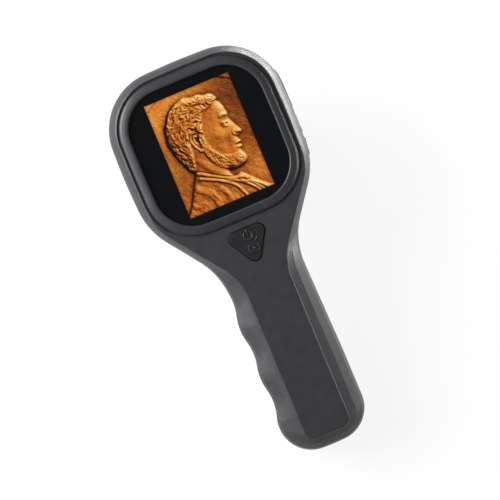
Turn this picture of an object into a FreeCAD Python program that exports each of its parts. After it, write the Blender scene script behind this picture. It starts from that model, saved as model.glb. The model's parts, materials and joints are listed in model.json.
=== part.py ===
import FreeCAD, Part
import math
import operator
import os

import Sketcher
from FreeCAD import Placement, Rotation, Vector

# The device frame: x across the head, y up the handle towards the head's top, z out of the screen.
# Its origin is the middle of the screen, on the flat front face. The whole model is tilted at the
# end into the pose in which the object lies on a table: on the hood's rim and the handle's heel.

SIZES = {
    # Silhouette of the head: half size, where its bowed sides would meet, and the corner radii
    "head_half": 31.2,
    "head_corner_at": 30.3,
    "head_corner_r": 20.4,
    "head_bow_r": 150.0,
    # Edge of the flat front face round the head
    "face_half": 28.85,
    "face_corner_at": 28.1,
    "face_corner_r": 17.6,
    # Shoulders, where the head narrows into the neck, and the neck itself
    "side_shoulder_x": 30.5,
    "side_shoulder_y": -18.5,
    "side_shoulder_r": 25.0,
    "side_neck_x": 14.3,
    "side_neck_y": -40.6,
    "side_neck_r": 25.0,
    "face_shoulder_x": 28.3,
    "face_shoulder_y": -18.9,
    "face_shoulder_r": 18.0,
    "face_neck_x": 8.6,
    "face_neck_y": -45.3,
    "face_neck_r": 20.0,
    # Grip
    "grip_swell_y": -80.0,
    "grip_swell_r": 300.0,
    "side_grip_half": 15.1,
    "face_grip_half": 8.4,
    "side_end_y": -108.9,
    "side_end_corner_r": 11.6,
    "side_end_bow": 0.5,
    "face_end_bow": 0.2,
    "face_end_y": -105.0,
    "face_end_corner_r": 3.0,
    "end_bow_r": 45.0,
    # Finger grooves down the left side of the grip
    "groove_first_y": -53.0,
    "groove_pitch": 17.7,
    "groove_depth": 2.2,
    "groove_round_r": 18.0,
    "groove_last_rise": 7.4,
    "groove_last_r": 8.0,
    "groove_count": 3,
    "face_wave": 0.15,
    # Depths, from the flat front face backwards
    "chamfer_depth": 6.0,
    "parting_depth": 7.5,
    "body_depth": 22.0,
    "wall": 2.0,
    "back_round": 6.0,
    "face_edge_round": 0.7,
    # Window: glass, the rolled bezel round it and the groove outside that
    "glass_half": 24.05,
    "glass_corner_at": 23.75,
    "glass_corner_r": 13.4,
    "glass_thick": 1.2,
    "glass_gap": 0.1,
    "glass_sunk": 0.1,
    "gasket_thick": 0.2,
    "gasket_gap": 0.1,
    "ledge": 1.2,
    "bezel_width": 2.65,
    "bezel_height": 0.75,
    "bezel_round": 0.7,
    "bezel_lip": 0.45,
    "ditch_width": 1.35,
    "ditch_depth": 0.6,
    # Display behind the glass
    "panel_half_width": 17.7,
    "panel_half_height": 23.2,
    "panel_thick": 1.7,
    "panel_gap": 0.1,
    "panel_round": 0.5,
    "frame_gap": 0.05,
    "frame_wall": 1.1,
    "frame_back": 1.0,
    "frame_round": 2.0,
    "frame_border": 3.0,
    "frame_bar_half": 2.0,
    "frame_window_round": 1.5,
    # Main board
    "board_left": 24.4,
    "board_right": 22.6,
    "board_half_height": 17.5,
    "board_depth": 7.9,
    "board_thick": 1.2,
    "board_round": 1.0,
    # Power key: a triangle of three round corners that points down the handle
    "key_top_half": 4.1,
    "key_top_y": -32.6,
    "key_tip_y": -39.7,
    "key_round": 2.3,
    "key_gap": 0.25,
    "key_proud": 0.35,
    "key_edge_round": 0.3,
    "key_flange": 0.9,
    "key_flange_thick": 1.0,
    "key_stem_r": 2.0,
    "key_travel": 0.7,
    "key_stem_length": 0.8,
    "key_seat_gap": 0.05,
    "switch_gap": 0.1,
    "switch_height": 1.3,
    "switch_half": 3.0,
    "switch_round": 0.4,
    "switch_dome_r": 1.4,
    "switch_dome_rise": 0.4,
    "key_board_half": 10.0,
    "key_board_top_y": -29.5,
    "key_board_low_y": -43.4,
    "key_board_thick": 1.0,
    "key_post_r": 1.5,
    "key_post_x": 8.3,
    "key_post_y": -41.4,
    # Keys in the right side wall
    "side_key_z": -13.2,
    "side_key_half_height": 2.3,
    "side_key_proud": 0.3,
    "side_key_dish": 0.5,
    "side_key_gap": 0.3,
    "side_key_round": 1.0,
    "side_key_flange": 0.8,
    "side_key_inner_x": 26.4,
    "side_key_flange_x": 27.5,
    "side_key_flange_round": 0.5,
    "side_key_root": 0.2,
    "side_key_travel": 0.5,
    "rocker_middle_y": 8.6,
    "rocker_half_length": 7.0,
    "short_key_half_length": 2.9,
    "middle_key_y": -4.5,
    "lower_key_y": -12.6,
    "rocker_switch_inset": 2.0,
    "side_switch_height": 1.4,
    "side_switch_half": 1.7,
    "side_switch_nub_r": 0.8,
    "side_switch_nub_rise": 0.4,
    "side_switch_gap": 0.15,
    "side_board_thick": 1.0,
    "side_board_half_length": 16.6,
    "side_board_half_height": 3.6,
    "side_board_round": 0.5,
    # Cuts through the walls, which start clear of them
    "side_cut_x": 35.0,
    "end_cut_y": 113.0,
    "wall_cut": 8.0,
    # Snout: collar on the rear shell, the fixed sleeve and the focus ring that turns on it
    "collar_r": 24.5,
    "collar_height": 2.5,
    "collar_round": 1.2,
    "sleeve_r": 17.9,
    "sleeve_bore_r": 13.0,
    "sleeve_flange_r": 22.3,
    "sleeve_flange_thick": 2.9,
    "seat_gap": 0.1,
    "ring_r": 23.0,
    "ring_height": 10.5,
    "ring_gap": 0.3,
    "running_gap": 0.05,
    "ring_rib_count": 32,
    "ring_rib_cut_r": 1.5,
    "ring_rib_depth": 0.75,
    "ring_edge": 0.9,
    # Focus drive: two pins on the barrel, in straight slots and in slanted grooves in the ring
    "focus_turn": 150.0,
    "focus_travel": 5.0,
    "pin_r": 1.0,
    "pin_gap": 0.06,
    "pin_reach": 19.2,
    "pin_rest_z": -32.0,
    "pin_groove_r": 19.5,
    "pin_groove_spare": 4.0,
    "pin_groove_inside": 0.5,
    "pin_sunk": 0.3,
    # Lens barrel
    "barrel_top_z": -23.8,
    "barrel_tip_z": -35.3,
    "barrel_bore_r": 9.0,
    "barrel_stop_r": 7.4,
    "barrel_mouth_r": 9.6,
    "barrel_lip": 1.2,
    "lens_thick": 2.6,
    "lens_bulge": 0.8,
    "lens_rim": 0.8,
    "lens_middle": 0.4,
    "lens_gap": 0.05,
    "spacer_length": 2.4,
    "spacer_wall": 1.4,
    "retainer_length": 1.2,
    # Lamp board and clear hood at the tip
    "hood_flange_r": 21.0,
    "hood_flange_thick": 1.5,
    "hood_r": 18.6,
    "hood_wall": 1.5,
    "hood_length": 7.9,
    "hood_edge": 0.3,
    "lamp_board_thick": 1.0,
    "lamp_board_hole_r": 9.2,
    "lamp_board_gap": 0.1,
    "lamp_count": 8,
    "lamp_ring_r": 13.0,
    "lamp_half": 1.4,
    "lamp_half_length": 1.68,
    "lamp_height": 0.9,
    # Image sensor
    "sensor_board_half": 13.4,
    "sensor_board_thick": 1.2,
    "sensor_board_round": 1.0,
    "sensor_half": 4.5,
    "sensor_height": 1.2,
    "sensor_round": 0.3,
    # Screws
    "boss_r": 2.5,
    "boss_end_depth": 16.0,
    "post_r": 3.2,
    "post_seat": 2.0,
    "screw_head_r": 2.0,
    "screw_head_height": 1.5,
    "screw_shank_r": 1.0,
    "screw_length": 9.0,
    "screw_tip_gap": 0.5,
    "screw_hole_gap": 0.15,
    "screw_grip_gap": 0.02,
    "head_boss_x": 21.8,
    "head_boss_y": 20.6,
    "neck_boss_y": -48.6,
    "end_boss_x": 7.7,
    "end_boss_y": -93.0,
    "small_screw_r": 0.8,
    "small_screw_head_r": 1.5,
    "small_screw_head": 1.0,
    "small_screw_length": 3.6,
    "small_screw_tip_gap": 0.2,
    "sleeve_screw_at": 19.9,
    "sensor_screw_at": 11.7,
    # Battery
    "battery_half_width": 8.6,
    "battery_top_y": -53.5,
    "battery_low_y": -89.3,
    "battery_thick": 10.0,
    "battery_round": 1.6,
    "battery_corner": 2.0,
    "battery_pad_thick": 1.2,
    "battery_pad_inset_x": 2.0,
    "battery_pad_inset_y": 3.0,
    "battery_pad_round": 1.0,
    # Socket in the handle's end and its board
    "usb_half_width": 4.47,
    "usb_height": 3.2,
    "usb_length": 7.3,
    "usb_shell": 0.35,
    "usb_gap": 0.15,
    "usb_depth": 12.8,
    "usb_end_gap": 0.4,
    "usb_back": 1.0,
    "usb_tongue_half": 3.3,
    "usb_tongue_half_thick": 0.35,
    "usb_tongue_round": 0.2,
    "usb_tongue_inset": 0.8,
    "usb_tongue_root": 0.1,
    "usb_board_half": 4.9,
    "usb_board_length": 11.0,
    "usb_board_inset": 2.6,
    "usb_board_thick": 1.0,
    "usb_board_round": 0.8,
    # Memory-card socket in the left wall
    "card_y": 6.0,
    "card_half_width": 7.0,
    "card_height": 1.9,
    "card_outer_x": -28.3,
    "card_length": 14.5,
    "card_slot_half": 5.7,
    "card_slot_height": 1.1,
    "card_slot_round": 0.4,
    "card_mouth_round": 0.3,
    "card_case_round": 0.5,
    "card_back": 1.5,
    # Flat cables
    "flex_half": 4.0,
    "flex_thick": 0.3,
    "display_flex_inset": 3.0,
    "display_flex_x": -8.0,
    "key_flex_inset": 4.0,
    "key_flex_drop": 1.5,
}

# Packages on the main board: middle x and y, half width and height
CHIPS = ((6.0, 8.0, 5.5, 1.0), (6.5, -8.5, 4.0, 0.9), (-8.0, -9.0, 3.0, 1.0), (15.5, -3.0, 2.2, 1.1))

# Cross sunk in a screw's head: arm and half width as shares of its radius, depth as one of its height
CROSS = (0.6, 0.22, 0.5)

# A length past the side of everything
FAR = 100.0

# Keeps a round end's two arcs from meeting in one point
SLIVER = 0.05

# Shares of the chamfer's depth at which the swelling side wall is drawn
SWELL_STEPS = (0.3, 0.65, 1.0)

# Straight steps in the quarter circle of the back's rounding
BACK_STEPS = 5

OPERATIONS = {"+": operator.add, "-": operator.sub, "*": operator.mul, "/": operator.truediv}


class Size:
    """A length together with the sheet expression that gives it."""

    def __init__(self, value, text):
        self.value = float(value)
        self.text = text

    def __float__(self):
        return self.value

    def __add__(self, other):
        return joined(self, "+", other)

    def __radd__(self, other):
        return joined(other, "+", self)

    def __sub__(self, other):
        return joined(self, "-", other)

    def __rsub__(self, other):
        return joined(other, "-", self)

    def __mul__(self, other):
        return joined(self, "*", other)

    def __rmul__(self, other):
        return joined(other, "*", self)

    def __truediv__(self, other):
        return joined(self, "/", other)

    def __neg__(self):
        return joined(0.0, "-", self)


def joined(left, sign, right):
    sides = [side if isinstance(side, Size) else Size(side, repr(float(side))) for side in (left, right)]
    value = OPERATIONS[sign](sides[0].value, sides[1].value)
    return Size(value, f"({sides[0].text} {sign} {sides[1].text})")


class Sheet:
    """The sheet of driving dimensions: sheet.wall is the size in the cell named wall."""

    def __init__(self, doc):
        self.cells = doc.addObject("Spreadsheet::Sheet", "Sizes")
        for row, (name, value) in enumerate(SIZES.items(), start=1):
            self.cells.set(f"A{row}", name)
            self.cells.set(f"B{row}", repr(value))
            self.cells.setAlias(f"B{row}", name)

    def __getattr__(self, name):
        return Size(self.cells.get(name), f"Sizes.{name}")


doc = FreeCAD.newDocument("microscope")
sheet = Sheet(doc)
doc.recompute()
sub_parts = []


def num(name):
    """The plain number in a cell, for outlines and counts worked out here."""
    return float(getattr(sheet, name))


# Outlines: closed lists of corners (x, y, radius), clockwise, with a tangent arc at each corner


def unit(a, b):
    length = math.hypot(b[0] - a[0], b[1] - a[1])
    return ((b[0] - a[0]) / length, (b[1] - a[1]) / length)


def crossing(p, d, q, e):
    """Where the line through p along d meets the line through q along e."""
    across = d[0] * e[1] - d[1] * e[0]
    along = ((q[0] - p[0]) * e[1] - (q[1] - p[1]) * e[0]) / across
    return (p[0] + along * d[0], p[1] + along * d[1])


def inset_corners(corners, inset):
    """The corners with every side moved inwards, so that the arcs keep their centres."""
    count = len(corners)
    ways = [unit(corners[i], corners[(i + 1) % count]) for i in range(count)]
    moved = []
    for i, (x, y, radius) in enumerate(corners):
        before, after = ways[i - 1], ways[i]
        p = (x + inset * before[1], y - inset * before[0])
        q = (x + inset * after[1], y - inset * after[0])
        turn = before[0] * after[1] - before[1] * after[0]
        radius = radius - inset if turn < 0 else radius + inset
        moved.append((*crossing(p, before, q, after), radius))
    return moved


def outline_curves(corners, inset=0.0):
    """Lines and tangent arcs that follow the corners, each with whether it runs the other way."""
    if inset:
        corners = inset_corners(corners, inset)
    count = len(corners)
    arcs = []
    for i, (x, y, radius) in enumerate(corners):
        before = unit(corners[i - 1], corners[i])
        after = unit(corners[i], corners[(i + 1) % count])
        across = before[0] * after[1] - before[1] * after[0]
        turn = abs(math.atan2(across, before[0] * after[0] + before[1] * after[1]))
        reach = radius * math.tan(turn / 2)
        start = Vector(x - reach * before[0], y - reach * before[1], 0)
        end = Vector(x + reach * after[0], y + reach * after[1], 0)
        inward = Vector(after[0] - before[0], after[1] - before[1], 0).normalize()
        middle = Vector(x, y, 0) + inward * (radius / math.cos(turn / 2) - radius)
        arcs.append((start, middle, end, across < 0))
    curves = []
    for i, (start, middle, end, clockwise) in enumerate(arcs):
        if clockwise:
            curves.append((Part.Arc(end, middle, start), True))
        else:
            curves.append((Part.Arc(start, middle, end), False))
        following = arcs[(i + 1) % count][0]
        curves.append((Part.LineSegment(end, following), False))
    return curves


def add_outline(sketch, corners, inset=0.0):
    """Draws one closed outline into a sketch and joins its curves end to end."""
    curves = outline_curves(corners, inset)
    first = len(sketch.Geometry)
    sketch.addGeometry([curve for curve, _ in curves], False)
    for i, (_, turned) in enumerate(curves):
        following = (i + 1) % len(curves)
        last_point = 1 if turned else 2
        next_point = 2 if curves[following][1] else 1
        rule = Sketcher.Constraint("Coincident", first + i, last_point, first + following, next_point)
        sketch.addConstraint(rule)


def mirrored(corners):
    """The corners on the other side of the y axis, in the order that keeps them clockwise."""
    return [(-x, y, radius) for x, y, radius in reversed(corners)]


def housing_corners(kind):
    """The flat face's edge (kind "face") or the silhouette (kind "side"), with matching corners."""
    head = "head" if kind == "side" else "face"
    half = num(f"{head}_half")
    at = num(f"{head}_corner_at")
    bow_r = num("head_bow_r")
    grip = num(f"{kind}_grip_half")
    end_y = num(f"{kind}_end_y")
    end_bow = num(f"{kind}_end_bow")
    right = [
        (at, at, num(f"{head}_corner_r")),
        (half, 0.0, bow_r),
        (num(f"{kind}_shoulder_x"), num(f"{kind}_shoulder_y"), num(f"{kind}_shoulder_r")),
    ]
    neck = (num(f"{kind}_neck_x"), num(f"{kind}_neck_y"), num(f"{kind}_neck_r"))
    swell = (grip, num("grip_swell_y"), num("grip_swell_r"))
    end_corner = (grip, end_y, num(f"{kind}_end_corner_r"))
    end_middle = (0.0, end_y - end_bow, num("end_bow_r"))
    depth = num("groove_depth") if kind == "side" else num("face_wave")
    waves = []
    for k in range(int(num("groove_count"))):
        y = num("groove_first_y") - k * num("groove_pitch")
        waves.append((-(grip - depth), y, num("groove_round_r")))
        waves.append((-grip, y - num("groove_pitch") / 2, num("groove_round_r")))
    waves[-1] = (-grip, waves[-2][1] - num("groove_last_rise"), num("groove_last_r"))
    top = [(0.0, half, bow_r)]
    left = [(-neck[0], neck[1], neck[2])] + waves + [(-end_corner[0], end_corner[1], end_corner[2])]
    return top + right + [neck, swell, end_corner, end_middle] + left[::-1] + mirrored(right)


def blended(share):
    """An outline between the flat face's edge and the silhouette, at a share of the way out."""
    pairs = zip(face, side)
    return [tuple(inner + share * (outer - inner) for inner, outer in zip(near, far)) for near, far in pairs]


def glass_corners():
    """The window: a square with bowed sides and round corners."""
    half, at = num("glass_half"), num("glass_corner_at")
    corner_r, bow_r = num("glass_corner_r"), num("head_bow_r")
    quarter = [(0.0, half, bow_r), (at, at, corner_r)]
    corners = []
    for _ in range(4):
        corners += quarter
        quarter = [(y, -x, radius) for x, y, radius in quarter]
    return corners


def key_corners():
    """Centres of the power key's three round corners; the key reaches key_round outside them."""
    half, top, tip = num("key_top_half"), num("key_top_y"), num("key_tip_y")
    return [(-half, top, 0.0), (half, top, 0.0), (0.0, tip, 0.0)]


def box_corners(low_x, low_y, high_x, high_y, radius):
    corners = [(low_x, high_y), (high_x, high_y), (high_x, low_y), (low_x, low_y)]
    return [(float(x), float(y), float(radius)) for x, y in corners]


# Features: short names for what every sub-part is made with


def new_body(label):
    body = doc.addObject("PartDesign::Body", label)
    body.Label = label
    sub_parts.append(body)
    return body


def bind(feature, name, size):
    """Sets a feature's property, and ties it to the sheet where it comes from there."""
    if isinstance(size, Size):
        feature.setExpression(name, size.text)
    else:
        setattr(feature, name, size)


def new_sketch(body, name, plane, offset):
    sketch = body.newObject("Sketcher::SketchObject", name)
    base = next(f for f in body.Origin.OriginFeatures if f.Role == plane)
    sketch.AttachmentSupport = [(base, "")]
    sketch.MapMode = "FlatFace"
    if offset is not None:
        distance = offset if isinstance(offset, Size) else Size(offset, repr(float(offset)))
        sketch.setExpression("AttachmentOffset.Base.z", distance.text)
    return sketch


def outline_sketch(body, name, corners, inset=0.0, offset=None, plane="XY_Plane"):
    sketch = new_sketch(body, name, plane, offset)
    add_outline(sketch, corners, float(inset))
    return sketch


def circle_sketch(body, name, circles, offset=None, plane="XY_Plane"):
    """Circles given as (x, y, radius), each held by its centre and radius."""
    sketch = new_sketch(body, name, plane, offset)
    for x, y, radius in circles:
        centre = Vector(float(x), float(y), 0)
        i = sketch.addGeometry(Part.Circle(centre, Vector(0, 0, 1), float(radius)), False)
        held = sketch.addConstraint(Sketcher.Constraint("Radius", i, float(radius)))
        bind_constraint(sketch, held, radius)
        hold_point(sketch, i, 3, x, y)
    return sketch


def bind_constraint(sketch, index, size):
    if isinstance(size, Size):
        sketch.setExpression(f"Constraints[{index}]", size.text)


def hold_point(sketch, i, which, x, y):
    """Holds a point of curve i at x, y: on an axis where that is 0, else at a distance from it."""
    for kind, axis, size in (("DistanceX", -2, x), ("DistanceY", -1, y)):
        if isinstance(size, Size) or size:
            rule = Sketcher.Constraint(kind, -1, 1, i, which, float(size))
            bind_constraint(sketch, sketch.addConstraint(rule), size)
        else:
            sketch.addConstraint(Sketcher.Constraint("PointOnObject", i, which, axis))


def profile_sketch(body, name, points, offset=None, plane="XZ_Plane"):
    """A closed figure of straight sides; each corner is held at its own two sizes."""
    sketch = new_sketch(body, name, plane, offset)
    count = len(points)
    corners = [Vector(float(x), float(y), 0) for x, y in points]
    for i in range(count):
        sketch.addGeometry(Part.LineSegment(corners[i], corners[(i + 1) % count]), False)
    for i in range(count):
        sketch.addConstraint(Sketcher.Constraint("Coincident", i, 2, (i + 1) % count, 1))
    for i, (x, y) in enumerate(points):
        hold_point(sketch, i, 1, x, y)
    return sketch


def extrude(kind, body, sketch, length, reverse):
    feature = body.newObject(f"PartDesign::{kind}", f"{sketch.Name}_{kind.lower()}")
    feature.Profile = sketch
    bind(feature, "Length", length)
    feature.Reversed = reverse
    sketch.Visibility = False
    return feature


def pad(body, sketch, length, down=False):
    return extrude("Pad", body, sketch, length, down)


def pocket(body, sketch, length, up=False):
    """Cuts away from the sketch's normal, or along it with up."""
    before = body_volume(body)
    feature = extrude("Pocket", body, sketch, length, up)
    check_cut(body, feature, before)
    return feature


def body_volume(body):
    doc.recompute()
    return body.Shape.Volume if body.Tip else 0.0


def check_cut(body, feature, before):
    after = body_volume(body)
    if not after < before - 1e-6:
        raise RuntimeError(f"{feature.Name} in {body.Label} cuts nothing")


def revolve(body, sketch, kind="Revolution"):
    feature = body.newObject(f"PartDesign::{kind}", f"{sketch.Name}_{kind.lower()}")
    feature.Profile = sketch
    feature.ReferenceAxis = (sketch, ["V_Axis"])
    feature.Angle = 360.0
    return feature


def stack(body, name, levels, kind="AdditiveLoft"):
    """Joins outlines at several heights with straight sides: levels are (corners, inset, height)."""
    before = body_volume(body)
    sketches = [
        outline_sketch(body, f"{name}_{i}", corners, inset, z) for i, (corners, inset, z) in enumerate(levels)
    ]
    feature = body.newObject(f"PartDesign::{kind}", name)
    feature.Profile = sketches[0]
    feature.Sections = sketches[1:]
    feature.Ruled = True
    if kind == "SubtractiveLoft":
        check_cut(body, feature, before)
    return feature


def edges_in_plane(shape, z, keep=None):
    """Names of the edges that lie in the plane at height z, and pass the test keep."""
    names = []
    for i, edge in enumerate(shape.Edges, start=1):
        flat = all(abs(point.z - z) < 1e-4 for point in edge.discretize(5))
        if flat and (keep is None or keep(edge)):
            names.append(f"Edge{i}")
    return names


def round_edges(body, z, radius, keep=None, kind="Fillet"):
    doc.recompute()
    names = edges_in_plane(body.Shape, float(z), keep)
    if not names:
        raise RuntimeError(f"{body.Label} has no edges at height {float(z)}")
    feature = body.newObject(f"PartDesign::{kind}", f"{body.Label}_{kind.lower()}")
    feature.Base = (feature.BaseFeature, names)
    bind(feature, "Radius" if kind == "Fillet" else "Size", radius)
    return feature


def solid_group(label, solids):
    """Like pieces that share one node."""
    feature = doc.addObject("Part::Feature", label)
    feature.Label = label
    feature.Shape = Part.makeCompound(solids)
    sub_parts.append(feature)
    return feature


def plate(label, corners, top_z, thick, holes=()):
    """A flat board or sheet whose front is at top_z, with round holes through it."""
    body = new_body(label)
    sheet_outline = outline_sketch(body, f"{label}_outline", corners, 0.0, top_z)
    pad(body, sheet_outline, thick, down=True)
    if holes:
        pocket(body, circle_sketch(body, f"{label}_holes", holes, top_z), thick)
    return body


# Levels worked out from the sizes

parting_z = -sheet.parting_depth
back_z = -sheet.body_depth
inner_front_z = -sheet.wall
inner_back_z = -(sheet.body_depth - sheet.wall)
glass_top_z = sheet.glass_sunk
glass_low_z = glass_top_z - sheet.glass_thick
ledge_z = glass_low_z - sheet.gasket_thick
collar_z = back_z - sheet.collar_height
ring_top_z = collar_z - sheet.ring_gap
ring_low_z = ring_top_z - sheet.ring_height
hood_top_z = ring_low_z - sheet.ring_gap
hood_flange_z = hood_top_z - sheet.hood_flange_thick
hood_tip_z = hood_flange_z - sheet.hood_length
sleeve_top_z = inner_back_z + sheet.sleeve_flange_thick
lamp_board_z = hood_flange_z
key_board_z = (
    inner_front_z - sheet.key_flange_thick - sheet.key_stem_length - sheet.key_travel - 2 * sheet.switch_gap
    - sheet.switch_height
)

side = housing_corners("side")
face = housing_corners("face")
window = glass_corners()
power_key = key_corners()


def case_screw_places():
    """Middles of the screws that close the two shells."""
    x, y = sheet.head_boss_x, sheet.head_boss_y
    head = [(x, y), (-x, y), (x, -y), (-x, -y)]
    end_x, end_y = sheet.end_boss_x, sheet.end_boss_y
    return head + [(0.0, sheet.neck_boss_y), (end_x, end_y), (-end_x, end_y)]


def key_post_places():
    return [(sheet.key_post_x, sheet.key_post_y), (-sheet.key_post_x, sheet.key_post_y)]


def at_places(places, radius):
    return [(x, y, radius) for x, y in places]


# The moulded shells


def make_front_shell():
    body = new_body("front_shell")
    wide, edge = sheet.chamfer_depth, sheet.face_edge_round
    levels = [(face, num("face_edge_round"), 0.0), (face, 0.3 * num("face_edge_round"), -0.3 * edge)]
    levels.append((face, 0.0, -edge))
    for share in SWELL_STEPS:
        depth = edge + share * (wide - edge)
        levels.append((blended(math.sin(share * math.pi / 2)), 0.0, -depth))
    stack(body, "front_form", levels)
    skirt = outline_sketch(body, "front_skirt", side, 0.0, -wide)
    pad(body, skirt, sheet.parting_depth - wide, down=True)

    bezel_outer = -(num("glass_gap") + num("bezel_width"))
    roll = outline_sketch(body, "bezel", window, bezel_outer)
    pad(body, roll, sheet.bezel_height)
    round_edges(body, sheet.bezel_height, sheet.bezel_round)

    wall = num("wall")
    stack(body, "front_hollow", [(face, wall, inner_front_z), (side, wall, -wide)], "SubtractiveLoft")
    skirt_hollow = outline_sketch(body, "skirt_hollow", side, wall, -wide)
    pocket(body, skirt_hollow, sheet.parting_depth - wide)

    seat = outline_sketch(body, "glass_seat", window, -num("glass_gap"), sheet.bezel_height)
    pocket(body, seat, sheet.bezel_height - ledge_z)
    opening = outline_sketch(body, "window", window, num("ledge"), ledge_z)
    pocket(body, opening, ledge_z - inner_front_z)
    inside = num("glass_half") + num("glass_gap") + 0.01

    def on_the_glass_side(edge):
        box = edge.BoundBox
        return max(box.XMax, -box.XMin, box.YMax, -box.YMin) < inside

    round_edges(body, sheet.bezel_height, sheet.bezel_lip, on_the_glass_side, "Chamfer")

    ditch = outline_sketch(body, "ditch", window, bezel_outer - num("ditch_width"))
    add_outline(ditch, window, bezel_outer)
    pocket(body, ditch, sheet.ditch_depth)

    opening_inset = -(num("key_round") + num("key_gap"))
    pocket(body, outline_sketch(body, "key_opening", power_key, opening_inset), sheet.wall)

    bosses = circle_sketch(body, "bosses", at_places(case_screw_places(), sheet.boss_r), inner_front_z)
    pad(body, bosses, sheet.boss_end_depth - sheet.wall, down=True)
    pilot_r = sheet.screw_shank_r + sheet.screw_grip_gap
    end_z = -sheet.boss_end_depth
    pilots = circle_sketch(body, "pilot_holes", at_places(case_screw_places(), pilot_r), end_z)
    pocket(body, pilots, sheet.screw_length, up=True)
    posts = circle_sketch(body, "key_posts", at_places(key_post_places(), sheet.key_post_r), inner_front_z)
    pad(body, posts, inner_front_z - key_board_z, down=True)
    return body


def back_levels(skin, radius):
    """The rounding at the back, a quarter circle, of the silhouette moved inwards by skin."""
    start = num("body_depth") - skin - radius
    angles = [math.pi / 2 * k / BACK_STEPS for k in range(BACK_STEPS + 1)]
    return [(side, skin + radius * (1 - math.cos(a)), -(start + radius * math.sin(a))) for a in angles]


def make_rear_shell():
    body = new_body("rear_shell")
    wall, round_r = num("wall"), num("back_round")
    outer = outline_sketch(body, "rear_silhouette", side, 0.0, parting_z)
    pad(body, outer, sheet.body_depth - sheet.parting_depth - sheet.back_round, down=True)
    stack(body, "rear_round", back_levels(0.0, round_r))
    collar = circle_sketch(body, "collar", [(0.0, 0.0, sheet.collar_r)], back_z + sheet.wall)
    pad(body, collar, sheet.collar_height + sheet.wall, down=True)
    round_edges(body, collar_z, sheet.collar_round)

    hollow = outline_sketch(body, "rear_hollow", side, wall, parting_z)
    pocket(body, hollow, sheet.body_depth - sheet.parting_depth - sheet.back_round)
    stack(body, "floor_round", back_levels(wall, round_r - wall), "SubtractiveLoft")

    seats = circle_sketch(body, "screw_posts", at_places(case_screw_places(), sheet.post_r), inner_back_z)
    pad(body, seats, sheet.body_depth - sheet.wall - sheet.boss_end_depth)
    through_r = sheet.screw_shank_r + sheet.screw_hole_gap
    holes = circle_sketch(body, "screw_holes", at_places(case_screw_places(), through_r), back_z)
    pocket(body, holes, sheet.body_depth - sheet.boss_end_depth, up=True)
    sink_r = sheet.screw_head_r + sheet.screw_hole_gap
    sinks = circle_sketch(body, "screw_sinks", at_places(case_screw_places(), sink_r), back_z)
    pocket(body, sinks, sheet.body_depth - sheet.boss_end_depth - sheet.post_seat, up=True)

    bore = circle_sketch(body, "snout_bore", [(0.0, 0.0, sheet.sleeve_r + sheet.seat_gap)], collar_z)
    pocket(body, bore, sheet.collar_height + sheet.wall, up=True)
    grip_r = sheet.small_screw_r + sheet.screw_grip_gap
    taps = circle_sketch(body, "sleeve_screw_holes", at_places(sleeve_screw_places(), grip_r), inner_back_z)
    pocket(body, taps, sheet.small_screw_length - sheet.sleeve_flange_thick + sheet.wall)

    cut_side_openings(body)
    return body


def cut_side_openings(body):
    """Openings for the three side keys, the card and the socket in the handle's end."""
    gap, rise = num("side_key_gap"), num("side_key_half_height") + num("side_key_gap")
    z = num("side_key_z")
    for name, (middle, half) in side_key_spans().items():
        reach = half + gap
        corners = box_corners(middle - reach, z - rise, middle + reach, z + rise, num("side_key_round") + gap)
        opening = outline_sketch(body, f"{name}_opening", corners, 0.0, sheet.side_cut_x, "YZ_Plane")
        pocket(body, opening, sheet.wall_cut)
    corners = card_slot_corners(num("card_slot_round"))
    slot = outline_sketch(body, "card_slot", corners, 0.0, -sheet.side_cut_x, "YZ_Plane")
    pocket(body, slot, sheet.wall_cut, up=True)
    half_width = num("usb_half_width") + num("usb_gap")
    half_height = num("usb_height") / 2 + num("usb_gap")
    z = -num("usb_depth")
    corners = box_corners(-half_width, z - half_height, half_width, z + half_height, half_height - SLIVER)
    socket = outline_sketch(body, "usb_opening", corners, 0.0, sheet.end_cut_y, "XZ_Plane")
    pocket(body, socket, sheet.wall_cut)


def card_slot_corners(radius):
    """The slot that a card goes in by, seen from the left, level with the middle of its socket."""
    y, half, rise = num("card_y"), num("card_slot_half"), num("card_slot_height") / 2
    z = -(num("board_depth") + num("board_thick") + num("card_height") / 2)
    return box_corners(y - half, z - rise, y + half, z + rise, radius)


def side_key_spans():
    """Middle and half length along the side of each side key."""
    short = num("short_key_half_length")
    return {
        "side_rocker_key": (num("rocker_middle_y"), num("rocker_half_length")),
        "side_key_middle": (num("middle_key_y"), short),
        "side_key_lower": (num("lower_key_y"), short),
    }


# The window and the display


def make_window():
    body = new_body("cover_glass")
    pad(body, outline_sketch(body, "glass", window, 0.0, glass_low_z), sheet.glass_thick)
    gasket = new_body("glass_gasket")
    ring = outline_sketch(gasket, "gasket", window, num("gasket_gap"), ledge_z)
    add_outline(ring, window, num("ledge"))
    pad(gasket, ring, sheet.gasket_thick)


def make_display():
    half_w, half_h = num("panel_half_width"), num("panel_half_height")
    top = inner_front_z - sheet.panel_gap
    nest = box_corners(-half_w, -half_h, half_w, half_h, num("panel_round"))
    plate("display_panel", nest, top, sheet.panel_thick)
    frame = new_body("display_frame")
    grow = num("frame_wall")
    outer = box_corners(-half_w - grow, -half_h - grow, half_w + grow, half_h + grow, num("frame_round"))
    back = sheet.panel_thick + sheet.frame_back
    pad(frame, outline_sketch(frame, "frame_outer", outer, 0.0, top), back, down=True)
    pocket(frame, outline_sketch(frame, "frame_nest", nest, -num("frame_gap"), top), sheet.panel_thick)
    border = num("frame_border")
    for name, way in (("frame_window_low", -1.0), ("frame_window_high", 1.0)):
        low, high = sorted((way * num("frame_bar_half"), way * (half_h - border)))
        hole = box_corners(-half_w + border, low, half_w - border, high, num("frame_window_round"))
        pocket(frame, outline_sketch(frame, name, hole, 0.0, top), back)


# Boards, switches and sockets


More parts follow.
